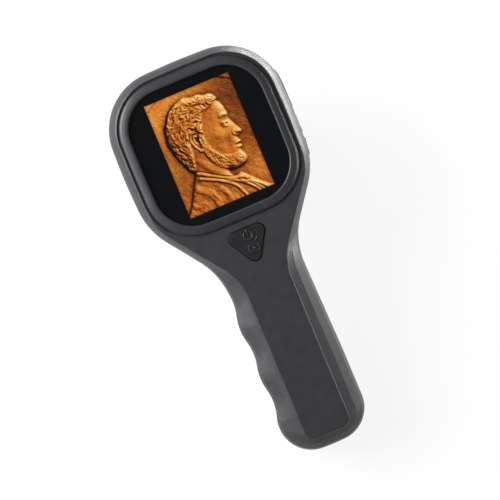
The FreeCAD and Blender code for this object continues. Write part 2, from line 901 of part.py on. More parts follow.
def make_main_board():
    half = num("board_half_height")
    corners = box_corners(-num("board_left"), -half, num("board_right"), half, num("board_round"))
    plate("main_board", corners, -sheet.board_depth, sheet.board_thick)
    chips = []
    top = -num("board_depth") - num("board_thick")
    for x, y, half, height in CHIPS:
        chips.append(Part.makeBox(2 * half, 2 * half, height, Vector(x - half, y - half, top - height)))
    solid_group("board_chips", chips)


def make_card_socket():
    body = new_body("card_socket")
    low_x, y, half = num("card_outer_x"), num("card_y"), num("card_half_width")
    corners = box_corners(low_x, y - half, low_x + num("card_length"), y + half, num("card_case_round"))
    top = -(sheet.board_depth + sheet.board_thick)
    pad(body, outline_sketch(body, "card_case", corners, 0.0, top), sheet.card_height, down=True)
    mouth = card_slot_corners(num("card_mouth_round"))
    opening = outline_sketch(body, "card_mouth", mouth, 0.0, sheet.card_outer_x, "YZ_Plane")
    pocket(body, opening, sheet.card_length - sheet.card_back, up=True)


def make_power_key():
    body = new_body("power_button")
    reach = num("key_round")
    cap = outline_sketch(body, "key_cap", power_key, -reach, inner_front_z - sheet.key_gap)
    pad(body, cap, sheet.wall + sheet.key_gap + sheet.key_proud)
    round_edges(body, sheet.key_proud, sheet.key_edge_round)
    flange_top = inner_front_z - sheet.key_seat_gap
    flange = outline_sketch(body, "key_flange_outline", power_key, -(reach + num("key_flange")), flange_top)
    pad(body, flange, sheet.key_flange_thick, down=True)
    middle_y = (num("key_top_y") * 2 + num("key_tip_y")) / 3
    stem = circle_sketch(body, "key_stem", [(0.0, middle_y, sheet.key_stem_r)], flange_top)
    pad(body, stem, sheet.key_flange_thick + sheet.key_stem_length, down=True)

    half = num("key_board_half")
    corners = box_corners(-half, num("key_board_low_y"), half, num("key_board_top_y"), num("board_round"))
    plate("power_key_board", corners, key_board_z, sheet.key_board_thick)
    half = num("switch_half")
    switch = new_body("power_switch")
    corners = box_corners(-half, middle_y - half, half, middle_y + half, num("switch_round"))
    can = outline_sketch(switch, "switch_can", corners, 0.0, key_board_z)
    pad(switch, can, sheet.switch_height - sheet.switch_dome_rise)
    dome = circle_sketch(switch, "switch_dome", [(0.0, middle_y, sheet.switch_dome_r)], key_board_z)
    pad(switch, dome, sheet.switch_height)


def side_x_at(y):
    """How far out the silhouette's right side stands at height y."""
    line = Part.LineSegment(Vector(0, y, 0), Vector(FAR, y, 0)).toShape()
    reached = []
    for curve, _ in outline_curves(side):
        distance, pairs, _ = line.distToShape(curve.toShape())
        if distance < 1e-6:
            reached.append(pairs[0][0].x)
    return max(reached)


def make_side_keys():
    z = num("side_key_z")
    root_x = num("side_key_flange_x") - num("side_key_root")
    grow = num("side_key_flange")
    rise = num("side_key_half_height") + grow
    low_z = sheet.side_key_z - sheet.side_key_half_height
    for name, (middle, half) in side_key_spans().items():
        body = new_body(name)
        cap = new_sketch(body, f"{name}_cap", "XY_Plane", low_z)
        ends = [middle - half, middle, middle + half]
        tips = [Vector(side_x_at(y) + num("side_key_proud"), y, 0) for y in ends]
        if name != "side_rocker_key":
            tips[1].x -= num("side_key_dish")
        inner = [Vector(root_x, ends[2], 0), Vector(root_x, ends[0], 0)]
        cap.addGeometry(
            [
                Part.Arc(tips[0], tips[1], tips[2]),
                Part.LineSegment(tips[2], inner[0]),
                Part.LineSegment(inner[0], inner[1]),
                Part.LineSegment(inner[1], tips[0]),
            ],
            False,
        )
        pad(body, cap, 2 * sheet.side_key_half_height)
        round_key_ends(body)
        low, high = ends[0] - grow, ends[2] + grow
        corners = box_corners(low, z - rise, high, z + rise, num("side_key_flange_round"))
        flange = outline_sketch(body, f"{name}_flange", corners, 0.0, sheet.side_key_flange_x, "YZ_Plane")
        pad(body, flange, sheet.side_key_flange_x - sheet.side_key_inner_x, down=True)
    make_side_board()


def make_side_board():
    """The board behind the side keys, with a switch under each short key and each end of the rocker."""
    z = num("side_key_z")
    height = num("side_switch_height")
    board_x = num("side_key_inner_x") - num("side_key_travel") - num("side_switch_gap") - height
    body = new_body("side_key_board")
    long, rise = num("side_board_half_length"), num("side_board_half_height")
    corners = box_corners(-long, z - rise, long, z + rise, num("side_board_round"))
    board = outline_sketch(body, "side_board_outline", corners, 0.0, board_x, "YZ_Plane")
    pad(body, board, sheet.side_board_thick, down=True)
    switches = []
    half, nub_rise = num("side_switch_half"), num("side_switch_nub_rise")
    rocker_y, reach = num("rocker_middle_y"), num("rocker_half_length") - num("rocker_switch_inset")
    for y in (rocker_y + reach, rocker_y - reach, num("middle_key_y"), num("lower_key_y")):
        case = Part.makeBox(height - nub_rise, 2 * half, 2 * half, Vector(board_x, y - half, z - half))
        nub = Part.makeCylinder(num("side_switch_nub_r"), height, Vector(board_x, y, z), Vector(1, 0, 0))
        switches.append(case.fuse(nub))
    solid_group("side_switches", switches)


def round_key_ends(body):
    """Rounds a side key's four edges that run outwards through the wall."""
    doc.recompute()
    names = []
    for i, edge in enumerate(body.Shape.Edges, start=1):
        ends = edge.Vertexes[0].Point - edge.Vertexes[-1].Point
        if abs(ends.x) > 1.0 and abs(ends.y) < 1e-6 and abs(ends.z) < 1e-6:
            names.append(f"Edge{i}")
    feature = body.newObject("PartDesign::Fillet", f"{body.Label}_ends")
    feature.Base = (feature.BaseFeature, names)
    bind(feature, "Radius", sheet.side_key_round)


def make_usb_socket():
    z = num("usb_depth")
    half_w, half_h = num("usb_half_width"), num("usb_height") / 2
    end_y = -num("side_end_y") + num("side_end_bow") - num("usb_end_gap")
    body = new_body("usb_socket")
    corners = box_corners(-half_w, -z - half_h, half_w, -z + half_h, half_h - SLIVER)
    shell = outline_sketch(body, "usb_case", corners, 0.0, end_y, "XZ_Plane")
    pad(body, shell, sheet.usb_length, down=True)
    hollow = outline_sketch(body, "usb_mouth", corners, num("usb_shell"), end_y, "XZ_Plane")
    pocket(body, hollow, sheet.usb_length - sheet.usb_back)
    half_w, half_h = num("usb_tongue_half"), num("usb_tongue_half_thick")
    tongue = box_corners(-half_w, -z - half_h, half_w, -z + half_h, num("usb_tongue_round"))
    blade = outline_sketch(body, "usb_tongue", tongue, 0.0, end_y - num("usb_tongue_inset"), "XZ_Plane")
    pad(body, blade, sheet.usb_length - sheet.usb_tongue_inset - sheet.usb_tongue_root, down=True)

    low_y = -end_y + num("usb_board_inset")
    half = num("usb_board_half")
    corners = box_corners(-half, low_y, half, low_y + num("usb_board_length"), num("usb_board_round"))
    top = -(sheet.usb_depth - sheet.usb_height / 2) + sheet.usb_board_thick
    plate("usb_board", corners, top, sheet.usb_board_thick)


def make_battery():
    half = num("battery_half_width")
    body = new_body("battery")
    low_y, high_y = num("battery_low_y"), num("battery_top_y")
    corners = box_corners(-half, low_y, half, high_y, num("battery_corner"))
    top = inner_back_z + sheet.battery_thick + sheet.battery_pad_thick
    pad(body, outline_sketch(body, "battery_outline", corners, 0.0, top), sheet.battery_thick, down=True)
    round_edges(body, top, sheet.battery_round)
    round_edges(body, top - sheet.battery_thick, sheet.battery_round)
    in_x, in_y = num("battery_pad_inset_x"), num("battery_pad_inset_y")
    tape = box_corners(-half + in_x, low_y + in_y, half - in_x, high_y - in_y, num("battery_pad_round"))
    plate("battery_pad", tape, top - sheet.battery_thick, sheet.battery_pad_thick)


def make_flat_cables():
    """Cables from the main board to the display and to the power key's board."""
    low = -(sheet.panel_thick + sheet.frame_back + sheet.wall + sheet.panel_gap)
    board_top = -sheet.board_depth
    y = -(sheet.board_half_height - sheet.display_flex_inset)
    tall = new_body("display_cable")
    points = [
        (y, board_top),
        (y, low),
        (y + sheet.flex_thick, low),
        (y + sheet.flex_thick, board_top),
    ]
    strip = profile_sketch(tall, "display_cable_edge", points, sheet.display_flex_x, "YZ_Plane")
    pad(tall, strip, 2 * sheet.flex_half)

    long = new_body("key_cable")
    start = -(sheet.board_half_height - sheet.key_flex_inset)
    end = sheet.key_board_top_y - sheet.key_flex_drop
    under = -(sheet.board_depth + sheet.board_thick)
    key_under = key_board_z - sheet.key_board_thick
    points = [
        (start, under),
        (start, under - sheet.flex_thick),
        (end, under - sheet.flex_thick),
        (end, key_under),
        (end + sheet.flex_thick, key_under),
        (end + sheet.flex_thick, under),
    ]
    strip = profile_sketch(long, "key_cable_edge", points, -sheet.flex_half, "YZ_Plane")
    pad(long, strip, 2 * sheet.flex_half)


# The snout: sleeve, focus ring, barrel, lamps and hood


def sleeve_screw_places():
    reach = sheet.sleeve_screw_at
    places = []
    for k in range(3):
        angle = math.radians(90 + 120 * k)
        places.append((reach * math.cos(angle), reach * math.sin(angle)))
    return places


def sensor_screw_places():
    at = sheet.sensor_screw_at
    return [(at, at), (-at, at), (at, -at), (-at, -at)]


def make_sleeve():
    """The fixed sleeve: a flange screwed inside the rear shell, and a tube that the ring turns on."""
    body = new_body("lens_sleeve")
    points = [
        (sheet.sleeve_bore_r, sleeve_top_z),
        (sheet.sleeve_flange_r, sleeve_top_z),
        (sheet.sleeve_flange_r, inner_back_z),
        (sheet.sleeve_r, inner_back_z),
        (sheet.sleeve_r, hood_top_z),
        (sheet.sleeve_bore_r, hood_top_z),
    ]
    revolve(body, profile_sketch(body, "sleeve_section", points))
    holes = at_places(sleeve_screw_places(), sheet.small_screw_r + sheet.screw_hole_gap)
    pocket(body, circle_sketch(body, "sleeve_holes", holes, sleeve_top_z), sheet.sleeve_flange_thick)
    grips = at_places(sensor_screw_places(), sheet.small_screw_r + sheet.screw_grip_gap)
    depth = sheet.small_screw_length - sheet.sensor_board_thick
    pocket(body, circle_sketch(body, "sensor_screw_grips", grips, sleeve_top_z), depth)
    half = num("pin_r") + num("pin_gap")
    low = num("pin_rest_z") - half
    high = num("pin_rest_z") + num("focus_travel") + half
    corners = box_corners(-half, low, half, high, half - 0.01)
    slot = outline_sketch(body, "pin_slots", corners, 0.0, None, "XZ_Plane")
    cut = pocket(body, slot, 2 * sheet.ring_r)
    cut.Midplane = True


def make_focus_ring():
    """The ring: ribbed outside, and inside it the two slanted grooves that drive the pins."""
    body = new_body("focus_ring")
    bore = sheet.sleeve_r + sheet.running_gap
    edge = sheet.ring_edge
    points = [
        (bore, ring_top_z),
        (sheet.ring_r - edge, ring_top_z),
        (sheet.ring_r, ring_top_z - edge),
        (sheet.ring_r, ring_low_z + edge),
        (sheet.ring_r - edge, ring_low_z),
        (bore, ring_low_z),
    ]
    revolve(body, profile_sketch(body, "ring_section", points))
    cut_at = sheet.ring_r - sheet.ring_rib_depth + sheet.ring_rib_cut_r
    groove = circle_sketch(body, "ring_rib_cut", [(cut_at, 0.0, sheet.ring_rib_cut_r)], ring_top_z)
    first = pocket(body, groove, sheet.ring_height)
    pattern = body.newObject("PartDesign::PolarPattern", "ring_ribs")
    pattern.Originals = [first]
    pattern.Axis = (groove, ["N_Axis"])
    pattern.Angle = 360.0
    pattern.Occurrences = int(num("ring_rib_count"))
    body.Tip = pattern
    doc.recompute()
    cut_pin_grooves(body)


def cut_pin_grooves(body):
    """Two grooves half a turn apart; each climbs by the barrel's travel over the ring's turn."""
    half = sheet.pin_r + sheet.pin_gap
    rise_each_degree = sheet.focus_travel / sheet.focus_turn
    spare = sheet.pin_groove_spare
    low = sheet.pin_rest_z - rise_each_degree * spare
    for way, name in ((1, "pin_groove_front"), (-1, "pin_groove_back")):
        inner = way * (sheet.sleeve_r - sheet.pin_groove_inside)
        outer = way * sheet.pin_groove_r
        points = [(inner, low - half), (outer, low - half), (outer, low + half), (inner, low + half)]
        section = profile_sketch(body, name, points)
        turned = Rotation(Vector(0, 1, 0), 90 + float(spare))
        section.AttachmentOffset = Placement(Vector(0, 0, 0), turned)
        before = body_volume(body)
        groove = body.newObject("PartDesign::SubtractiveHelix", f"{name}_cut")
        groove.Profile = section
        groove.ReferenceAxis = (section, ["V_Axis"])
        groove.Mode = 0
        bind(groove, "Pitch", 360 * rise_each_degree)
        bind(groove, "Height", rise_each_degree * (sheet.focus_turn + 2 * spare))
        groove.LeftHanded = True
        check_cut(body, groove, before)


def make_barrel():
    """The sliding barrel with a mouth at the tip, a step for the front lens and a bore behind it."""
    body = new_body("lens_barrel")
    outer = sheet.sleeve_bore_r - sheet.running_gap
    tip, top = sheet.barrel_tip_z, sheet.barrel_top_z
    step = tip + sheet.barrel_lip
    points = [
        (outer, top),
        (outer, tip),
        (sheet.barrel_mouth_r, tip),
        (sheet.barrel_stop_r, step),
        (sheet.barrel_bore_r, step),
        (sheet.barrel_bore_r, top),
    ]
    revolve(body, profile_sketch(body, "barrel_section", points))
    hole_r = sheet.pin_r + sheet.screw_grip_gap
    holes = circle_sketch(body, "pin_holes", [(0.0, sheet.pin_rest_z, hole_r)], None, "XZ_Plane")
    cut = pocket(body, holes, 2 * sheet.ring_r)
    cut.Midplane = True
    return float(step)


def make_lenses(step_z):
    """From the tip inwards: front lens, spacer, rear lens and the ring that holds them in."""
    bore = num("barrel_bore_r") - num("lens_gap")
    thick, bulge = num("lens_thick"), num("lens_bulge")
    low = step_z
    for name, radius in (("objective_lens", bore), ("rear_lens", bore)):
        make_lens(name, radius, low, thick, bulge)
        low += thick
        if name == "objective_lens":
            low = make_tube("lens_spacer", bore, bore - num("spacer_wall"), low, num("spacer_length"))
    make_tube("lens_retainer", bore, bore - num("spacer_wall"), low, num("retainer_length"))


def make_lens(name, radius, low, thick, bulge):
    """A lens with the same round face on both sides, flat just at its middle and on its rim."""
    body = new_body(name)
    section = new_sketch(body, f"{name}_section", "XZ_Plane", None)
    flat, middle = radius - num("lens_rim"), num("lens_middle")
    curve_r = (flat**2 + bulge**2) / (2 * bulge)
    top, base = low + thick, low

    def drop(x):
        return curve_r - math.sqrt(curve_r**2 - x**2)

    half_way = (flat + middle) / 2
    ring = [(flat, top - drop(flat)), (half_way, top - drop(half_way)), (middle, top - drop(middle))]
    front = [Vector(x, z, 0) for x, z in ring]
    back = [Vector(x, base + (top - z), 0) for x, z in reversed(ring)]
    rims = [Vector(radius, back[2].y, 0), Vector(radius, front[0].y, 0)]
    axis = [Vector(0, front[2].y, 0), Vector(0, back[0].y, 0)]
    straight = [(front[2], axis[0]), (axis[0], axis[1]), (axis[1], back[0])]
    straight += [(back[2], rims[0]), (rims[0], rims[1]), (rims[1], front[0])]
    rounds = [Part.Arc(*front), Part.Arc(*back)]
    section.addGeometry(rounds + [Part.LineSegment(*ends) for ends in straight], False)
    revolve(body, section)


def make_tube(name, outer, inner, low, length):
    body = new_body(name)
    ring = circle_sketch(body, f"{name}_ring", [(0.0, 0.0, outer), (0.0, 0.0, inner)], low)
    pad(body, ring, length)
    return low + length


def make_drive_pins():
    reach, start = num("pin_reach"), num("barrel_bore_r") + num("pin_sunk")
    pins = []
    for way in (1, -1):
        foot = Vector(0, way * start, num("pin_rest_z"))
        pins.append(Part.makeCylinder(num("pin_r"), reach - start, foot, Vector(0, way, 0)))
    solid_group("drive_pins", pins)


def make_lamps():
    board = sheet.hood_r - sheet.hood_wall - sheet.lamp_board_gap
    body = new_body("lamp_board")
    rings = [(0.0, 0.0, board), (0.0, 0.0, sheet.lamp_board_hole_r)]
    ring = circle_sketch(body, "lamp_board_ring", rings, hood_top_z)
    pad(body, ring, sheet.lamp_board_thick, down=True)
    low = float(hood_top_z) - num("lamp_board_thick")
    half, long, height = num("lamp_half"), num("lamp_half_length"), num("lamp_height")
    corner = Vector(num("lamp_ring_r") - half, -long, low - height)
    lamps = []
    count = int(num("lamp_count"))
    for k in range(count):
        case = Part.makeBox(2 * half, 2 * long, height, corner)
        case.rotate(Vector(0, 0, 0), Vector(0, 0, 1), 360.0 * (k + 0.5) / count)
        lamps.append(case)
    solid_group("lamps", lamps)


def make_hood():
    """The clear hood: a flange under the ring, and a wall whose rim stands on the thing looked at."""
    body = new_body("clear_hood")
    inner = sheet.hood_r - sheet.hood_wall
    edge = sheet.hood_edge
    points = [
        (inner, hood_top_z),
        (sheet.hood_flange_r, hood_top_z),
        (sheet.hood_flange_r, hood_flange_z),
        (sheet.hood_r, hood_flange_z),
        (sheet.hood_r, hood_tip_z + edge),
        (sheet.hood_r - edge, hood_tip_z),
        (inner + edge, hood_tip_z),
        (inner, hood_tip_z + edge),
    ]
    revolve(body, profile_sketch(body, "hood_section", points))


def make_sensor():
    half = num("sensor_board_half")
    holes = at_places(sensor_screw_places(), sheet.small_screw_r + sheet.screw_hole_gap)
    top = sleeve_top_z + sheet.sensor_board_thick
    corners = box_corners(-half, -half, half, half, num("sensor_board_round"))
    plate("sensor_board", corners, top, sheet.sensor_board_thick, holes)
    half = num("sensor_half")
    corners = box_corners(-half, -half, half, half, num("sensor_round"))
    plate("image_sensor", corners, sleeve_top_z, sheet.sensor_height)


# Screws


def screw(x, y, head_z, head_r, head_height, shank_r, length, points_up):
    """One screw: its head starts at head_z, its shank runs on, and a cross is sunk in the head."""
    way = 1 if points_up else -1
    axis = Vector(0, 0, way)
    start = Vector(float(x), float(y), float(head_z))
    head = Part.makeCylinder(head_r, head_height, start - axis * head_height, axis)
    shank = Part.makeCylinder(shank_r, length, start, axis)
    solid = head.fuse(shank).removeSplitter()
    arm, width, depth = head_r * CROSS[0], head_r * CROSS[1], head_height * CROSS[2]
    for long, wide in ((arm, width), (width, arm)):
        corner = start - axis * head_height - Vector(long, wide, 0 if way > 0 else depth)
        solid = solid.cut(Part.makeBox(2 * long, 2 * wide, depth, corner))
    return solid


def make_screws():
    seat_z = -(num("boss_end_depth") + num("post_seat"))
    length = num("screw_length") + num("post_seat") - num("screw_tip_gap")
    long = (num("screw_head_r"), num("screw_head_height"), num("screw_shank_r"), length)
    case = [screw(x, y, seat_z, *long, True) for x, y in case_screw_places()]
    solid_group("case_screws", case)
    length = num("small_screw_length") - num("small_screw_tip_gap")
    small = (num("small_screw_head_r"), num("small_screw_head"), num("small_screw_r"), length)
    sleeve = [screw(x, y, sleeve_top_z, *small, False) for x, y in sleeve_screw_places()]
    solid_group("sleeve_screws", sleeve)
    top = sleeve_top_z + sheet.sensor_board_thick
    sensor = [screw(x, y, top, *small, False) for x, y in sensor_screw_places()]
    solid_group("sensor_screws", sensor)


# The pose on the table


def rest_placement():
    """Tilts the device about x until the hood's rim and the handle's heel touch the table."""
    rim = Vector(0, -(num("hood_r") - num("hood_edge")), float(hood_tip_z))
    heel_r = num("back_round")
    end_y = num("side_end_y") - num("side_end_bow")
    heel = Vector(0, end_y + heel_r, -(num("body_depth") - heel_r))
    along = heel - rim
    distance = math.hypot(along.y, along.z)
    tilt = math.atan2(along.z, -along.y) - math.asin(heel_r / distance)
    turn = Placement(Vector(0, 0, 0), Rotation(Vector(1, 0, 0), math.degrees(tilt)))
    shapes = []
    for part in sub_parts:
        shape = part.Shape.copy()
        shape.Placement = turn.multiply(shape.Placement)
        shapes.append(shape)
    box = Part.makeCompound(shapes).optimalBoundingBox(False, False)
    middle = Vector((box.XMin + box.XMax) / 2, (box.YMin + box.YMax) / 2, box.ZMin)
    return Placement(-middle, turn.Rotation)


def main():
    make_front_shell()
    make_rear_shell()
    make_window()
    make_display()
    make_main_board()
    make_card_socket()
    make_power_key()
    make_side_keys()
    make_usb_socket()
    make_battery()
    make_flat_cables()
    make_sleeve()
    make_focus_ring()
    make_lenses(make_barrel())
    make_drive_pins()
    make_lamps()
    make_hood()
    make_sensor()
    make_screws()
    doc.recompute()
    rest = rest_placement()
    for part in sub_parts:
        part.Placement = rest
    doc.recompute()
    failed = [o.Name for o in doc.Objects if "Invalid" in o.State or "Error" in o.State]
    failed += [p.Label for p in sub_parts if p.Shape.isNull() or not p.Shape.isValid()]
    if failed:
        raise RuntimeError(f"these failed: {failed}")
    os.makedirs("parts", exist_ok=True)
    for part in sub_parts:
        part.Shape.exportStep(os.path.join("parts", f"{part.Label}.step"))
    print("rest placement", rest.Base, math.degrees(rest.Rotation.Angle))
    print("written", len(sub_parts), "sub-parts")


main()
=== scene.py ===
import json
import math

import bpy
import numpy as np
from mathutils import Matrix, Vector
from mathutils.bvhtree import BVHTree


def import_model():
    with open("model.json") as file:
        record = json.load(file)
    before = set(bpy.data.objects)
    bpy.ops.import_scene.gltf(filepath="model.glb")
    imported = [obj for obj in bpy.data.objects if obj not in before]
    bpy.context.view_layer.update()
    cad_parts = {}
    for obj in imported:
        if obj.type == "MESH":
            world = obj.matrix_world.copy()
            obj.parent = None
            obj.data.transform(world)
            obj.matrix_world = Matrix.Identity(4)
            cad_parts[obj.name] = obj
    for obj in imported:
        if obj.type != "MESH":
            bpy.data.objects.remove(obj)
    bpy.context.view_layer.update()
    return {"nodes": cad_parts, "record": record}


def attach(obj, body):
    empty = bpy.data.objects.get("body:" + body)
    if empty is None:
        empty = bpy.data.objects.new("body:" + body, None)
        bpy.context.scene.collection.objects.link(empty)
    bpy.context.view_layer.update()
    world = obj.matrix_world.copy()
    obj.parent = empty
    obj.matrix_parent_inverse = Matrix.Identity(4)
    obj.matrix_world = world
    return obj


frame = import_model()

NODES = frame["nodes"]
MM = 0.001

# Sizes in mm that the CAD model has too
GLASS_RISE = 0.1  # from the head's flat face to the top of the glass
WINDOW_HALF, WINDOW_CORNER_AT, WINDOW_CORNER_R = 24.05, 23.75, 13.4
HEAD_BOW_R = 150.0
POWER_KEY_TOP = 0.35
SIDE_KEY_Z, SIDE_KEY_HALF_HEIGHT, SIDE_KEY_ROUND = -13.2, 2.3, 1.0
ROCKER, MIDDLE_KEY, LOWER_KEY = (8.6, 7.0), (-4.5, 2.9), (-12.6, 2.9)  # middle and half length along the head
LAMP_COUNT, LAMP_RING_R, LAMP_FACE_Z = 8, 13.0, -37.5


def device_axes():
    """The screen's centre on the head's flat face, and the ways right, up the body and out of the screen."""
    collar = next(m for m in frame["record"]["mounts"] if m["name"] == "hood_collar")
    out = -Vector(collar["axis"]).normalized()
    right = Vector((1, 0, 0))
    up = out.cross(right)
    glass = [v.co for v in NODES["cover_glass"].data.vertices]
    middle = [sum(f([p.dot(way) for p in glass]) for f in (min, max)) / 2 for way in (right, up)]
    level = max(p.dot(out) for p in glass) - GLASS_RISE * MM
    return right * middle[0] + up * middle[1] + out * level, right, up, out


ORIGIN, RIGHT, UP, OUT = device_axes()


def device(x, y, z=0.0):
    """A point in mm from the screen's centre, in the row frame."""
    return ORIGIN + (RIGHT * x + UP * y + OUT * z) * MM


# Finishes


class Finish:
    """A material: a Principled shader with its pattern laid in the row frame."""

    def __init__(self, name, colour, roughness, **sockets):
        self.material = bpy.data.materials.new(name)
        self.material.use_nodes = True
        self.tree = self.material.node_tree
        self.shader = self.tree.nodes["Principled BSDF"]
        self.shader.inputs["Base Color"].default_value = (*colour, 1)
        self.shader.inputs["Roughness"].default_value = roughness
        for socket, value in sockets.items():
            self.shader.inputs[socket.replace("_", " ")].default_value = value
        self.place = self.node("ShaderNodeTexCoord").outputs["Object"]
        self.normal = None

    def node(self, kind, **settings):
        made = self.tree.nodes.new(kind)
        for key, value in settings.items():
            setattr(made, key, value)
        return made

    def join(self, source, target):
        self.tree.links.new(source, target)

    def noise(self, size, detail=2.0, stretch=(1, 1, 1)):
        """A random field from 0 to 1 whose features are about size mm."""
        place = self.place
        if stretch != (1, 1, 1):
            mapping = self.node("ShaderNodeMapping")
            mapping.inputs["Scale"].default_value = stretch
            self.join(place, mapping.inputs["Vector"])
            place = mapping.outputs["Vector"]
        made = self.node("ShaderNodeTexNoise")
        made.inputs["Scale"].default_value = 1 / (size * MM)
        made.inputs["Detail"].default_value = detail
        self.join(place, made.inputs["Vector"])
        return made.outputs["Fac"]

    def ranged(self, field, low, high, start=0.3, end=0.7):
        made = self.node("ShaderNodeMapRange")
        made.inputs["From Min"].default_value = start
        made.inputs["From Max"].default_value = end
        made.inputs["To Min"].default_value = low
        made.inputs["To Max"].default_value = high
        self.join(field, made.inputs["Value"])
        return made.outputs["Result"]

    def mottle(self, field, dark, light, start=0.3, end=0.7):
        """The colour varies between two others with the field."""
        mix = self.node("ShaderNodeMix", data_type="RGBA")
        mix.inputs["A"].default_value = (*dark, 1)
        mix.inputs["B"].default_value = (*light, 1)
        self.join(self.ranged(field, 0, 1, start, end), mix.inputs["Factor"])
        self.join(mix.outputs["Result"], self.shader.inputs["Base Color"])

    def worn(self, field, low, high):
        """The roughness varies with the field."""
        self.join(self.ranged(field, low, high), self.shader.inputs["Roughness"])

    def bump(self, field, depth):
        """The field raises the surface by up to depth mm."""
        made = self.node("ShaderNodeBump")
        made.inputs["Distance"].default_value = depth * MM
        made.inputs["Strength"].default_value = 1.0
        self.join(field, made.inputs["Height"])
        if self.normal:
            self.join(self.normal, made.inputs["Normal"])
        self.normal = made.outputs["Normal"]
        self.join(self.normal, self.shader.inputs["Normal"])


def scaled(colour, factor):
    return tuple(c * factor for c in colour)


def moulded(name, colour, roughness, grain, depth, spread=0.12, gloss=0.5):
    """Moulded plastic or rubber: fine grain, slightly uneven colour and gloss."""
    patch, shine, swell = 14, 22, 5  # how many grains wide the larger patterns are
    made = Finish(name, colour, roughness, Specular_IOR_Level=gloss)
    made.mottle(made.noise(grain * patch, 4.0), scaled(colour, 1 - spread), scaled(colour, 1 + spread))
    made.worn(made.noise(grain * shine, 3.0), roughness - 0.04, roughness + 0.05)
    made.bump(made.noise(grain * swell, 2.0), depth * 1.5)
    made.bump(made.noise(grain, 3.0), depth)
    return made.material


def metal(name, colour, roughness, stretch):
    """Drawn or turned metal with fine streaks."""
    made = Finish(name, colour, roughness, Metallic=1.0)
    streaks = made.noise(0.4, 4.0, stretch)
    made.mottle(streaks, scaled(colour, 0.78), scaled(colour, 1.1))
    made.worn(streaks, roughness - 0.08, roughness + 0.12)
    made.bump(streaks, 0.003)
    return made.material


def solder_mask():
    """A dark green board with its copper showing faintly through."""
    made = Finish("board_mask", (0.012, 0.06, 0.03), 0.32)
    tracks = made.node("ShaderNodeTexBrick", offset=0.3, squash=0.6, squash_frequency=3)
    tracks.inputs["Scale"].default_value = 420
    tracks.inputs["Mortar Size"].default_value = 0.05
    tracks.inputs["Color1"].default_value = (0.010, 0.055, 0.028, 1)
    tracks.inputs["Color2"].default_value = (0.014, 0.075, 0.036, 1)
    tracks.inputs["Mortar"].default_value = (0.028, 0.13, 0.055, 1)
    made.join(made.place, tracks.inputs["Vector"])
    made.join(tracks.outputs["Color"], made.shader.inputs["Base Color"])
    made.bump(tracks.outputs["Fac"], 0.01)
    return made.material


WINDOW_GLOSS = 0.16  # the specular level of glass with an anti-reflective coat


def window():
    """The cover glass: black-backed, anti-reflective, with the faintest unevenness."""
    made = Finish("window_glass", (0.0026, 0.0030, 0.0038), 0.08)
    made.shader.inputs["Specular IOR Level"].default_value = WINDOW_GLOSS
    made.mottle(made.noise(9.0, 2.0), (0.0023, 0.0027, 0.0034), (0.0029, 0.0033, 0.0042))
    made.worn(made.noise(4.0, 4.0), 0.05, 0.11)
    return made.material


def clear(name, tint, roughness, ior, smear):
    """Clear moulded plastic or lens glass."""
    made = Finish(name, tint, roughness, Transmission_Weight=1.0, IOR=ior)
    made.worn(made.noise(smear, 3.0), max(0.0, roughness - 0.02), roughness + 0.03)
    return made.material


def coated_lens():
    """Lens glass with a thin coating that tints what it reflects."""
    made = Finish("coated_lens", (0.82, 0.9, 0.96), 0.02, Transmission_Weight=0.9, IOR=1.52)
    made.shader.inputs["Specular Tint"].default_value = (0.55, 0.45, 1.0, 1)
    made.shader.inputs["Coat Weight"].default_value = 0.6
    made.shader.inputs["Coat Roughness"].default_value = 0.03
    made.shader.inputs["Coat Tint"].default_value = (0.7, 0.95, 0.8, 1)
    made.worn(made.noise(3.0, 2.0), 0.01, 0.05)
    return made.material


def picture_face():
    """The lit picture: the colours stored on its own mesh, under the window's gloss."""
    made = Finish("picture_light", (0.002, 0.002, 0.002), 0.09)
    made.shader.inputs["Specular IOR Level"].default_value = WINDOW_GLOSS
    stored = made.node("ShaderNodeAttribute", attribute_name="picture")
    made.join(stored.outputs["Color"], made.shader.inputs["Emission Color"])
    made.shader.inputs["Emission Strength"].default_value = 1.0
    made.worn(made.noise(4.0, 4.0), 0.07, 0.12)
    return made.material


HOUSING = (0.0255, 0.0262, 0.0292)
FINISHES = {
    "housing": moulded("housing_grain", HOUSING, 0.43, 0.22, 0.006),
    "ring": moulded("ring_grain", scaled(HOUSING, 0.85), 0.55, 0.3, 0.012),
    "key": moulded("key_rubber", (0.0105, 0.0108, 0.0122), 0.60, 0.35, 0.03, 0.3, 0.25),
    # The symbols' lighter colour is a painted highlight standing in for light caught by their raised edges;
    # only their lower roughness is the real finish.
    "sign": moulded("sign_rubber_painted_highlight", (0.024, 0.0245, 0.027), 0.42, 0.35, 0.01, 0.2),
    "window": window(),
    "clear": clear("hood_acrylic", (0.97, 0.985, 0.99), 0.03, 1.49, 6.0),
    "lens": coated_lens(),
    "panel": moulded("panel_black", (0.01, 0.01, 0.012), 0.25, 0.5, 0.002),
    "inner": moulded("inner_plastic", (0.018, 0.018, 0.019), 0.6, 0.25, 0.01),
    "board": solder_mask(),
    "chip": moulded("chip_epoxy", (0.016, 0.016, 0.017), 0.5, 0.2, 0.006),
    "steel": metal("plated_steel", (0.56, 0.56, 0.57), 0.30, (1, 6, 6)),
    "brass": metal("turned_brass", (0.68, 0.5, 0.23), 0.28, (6, 6, 1)),
    "cell": moulded("cell_sleeve", (0.12, 0.15, 0.19), 0.35, 0.6, 0.02),
    "foam": moulded("foam_black", (0.012, 0.012, 0.012), 0.9, 0.5, 0.08, 0.4),
    "lamp": moulded("lamp_white", (0.78, 0.77, 0.72), 0.35, 0.3, 0.004, 0.05),
    "cable": moulded("polyimide", (0.42, 0.2, 0.035), 0.3, 1.2, 0.01, 0.2),
}

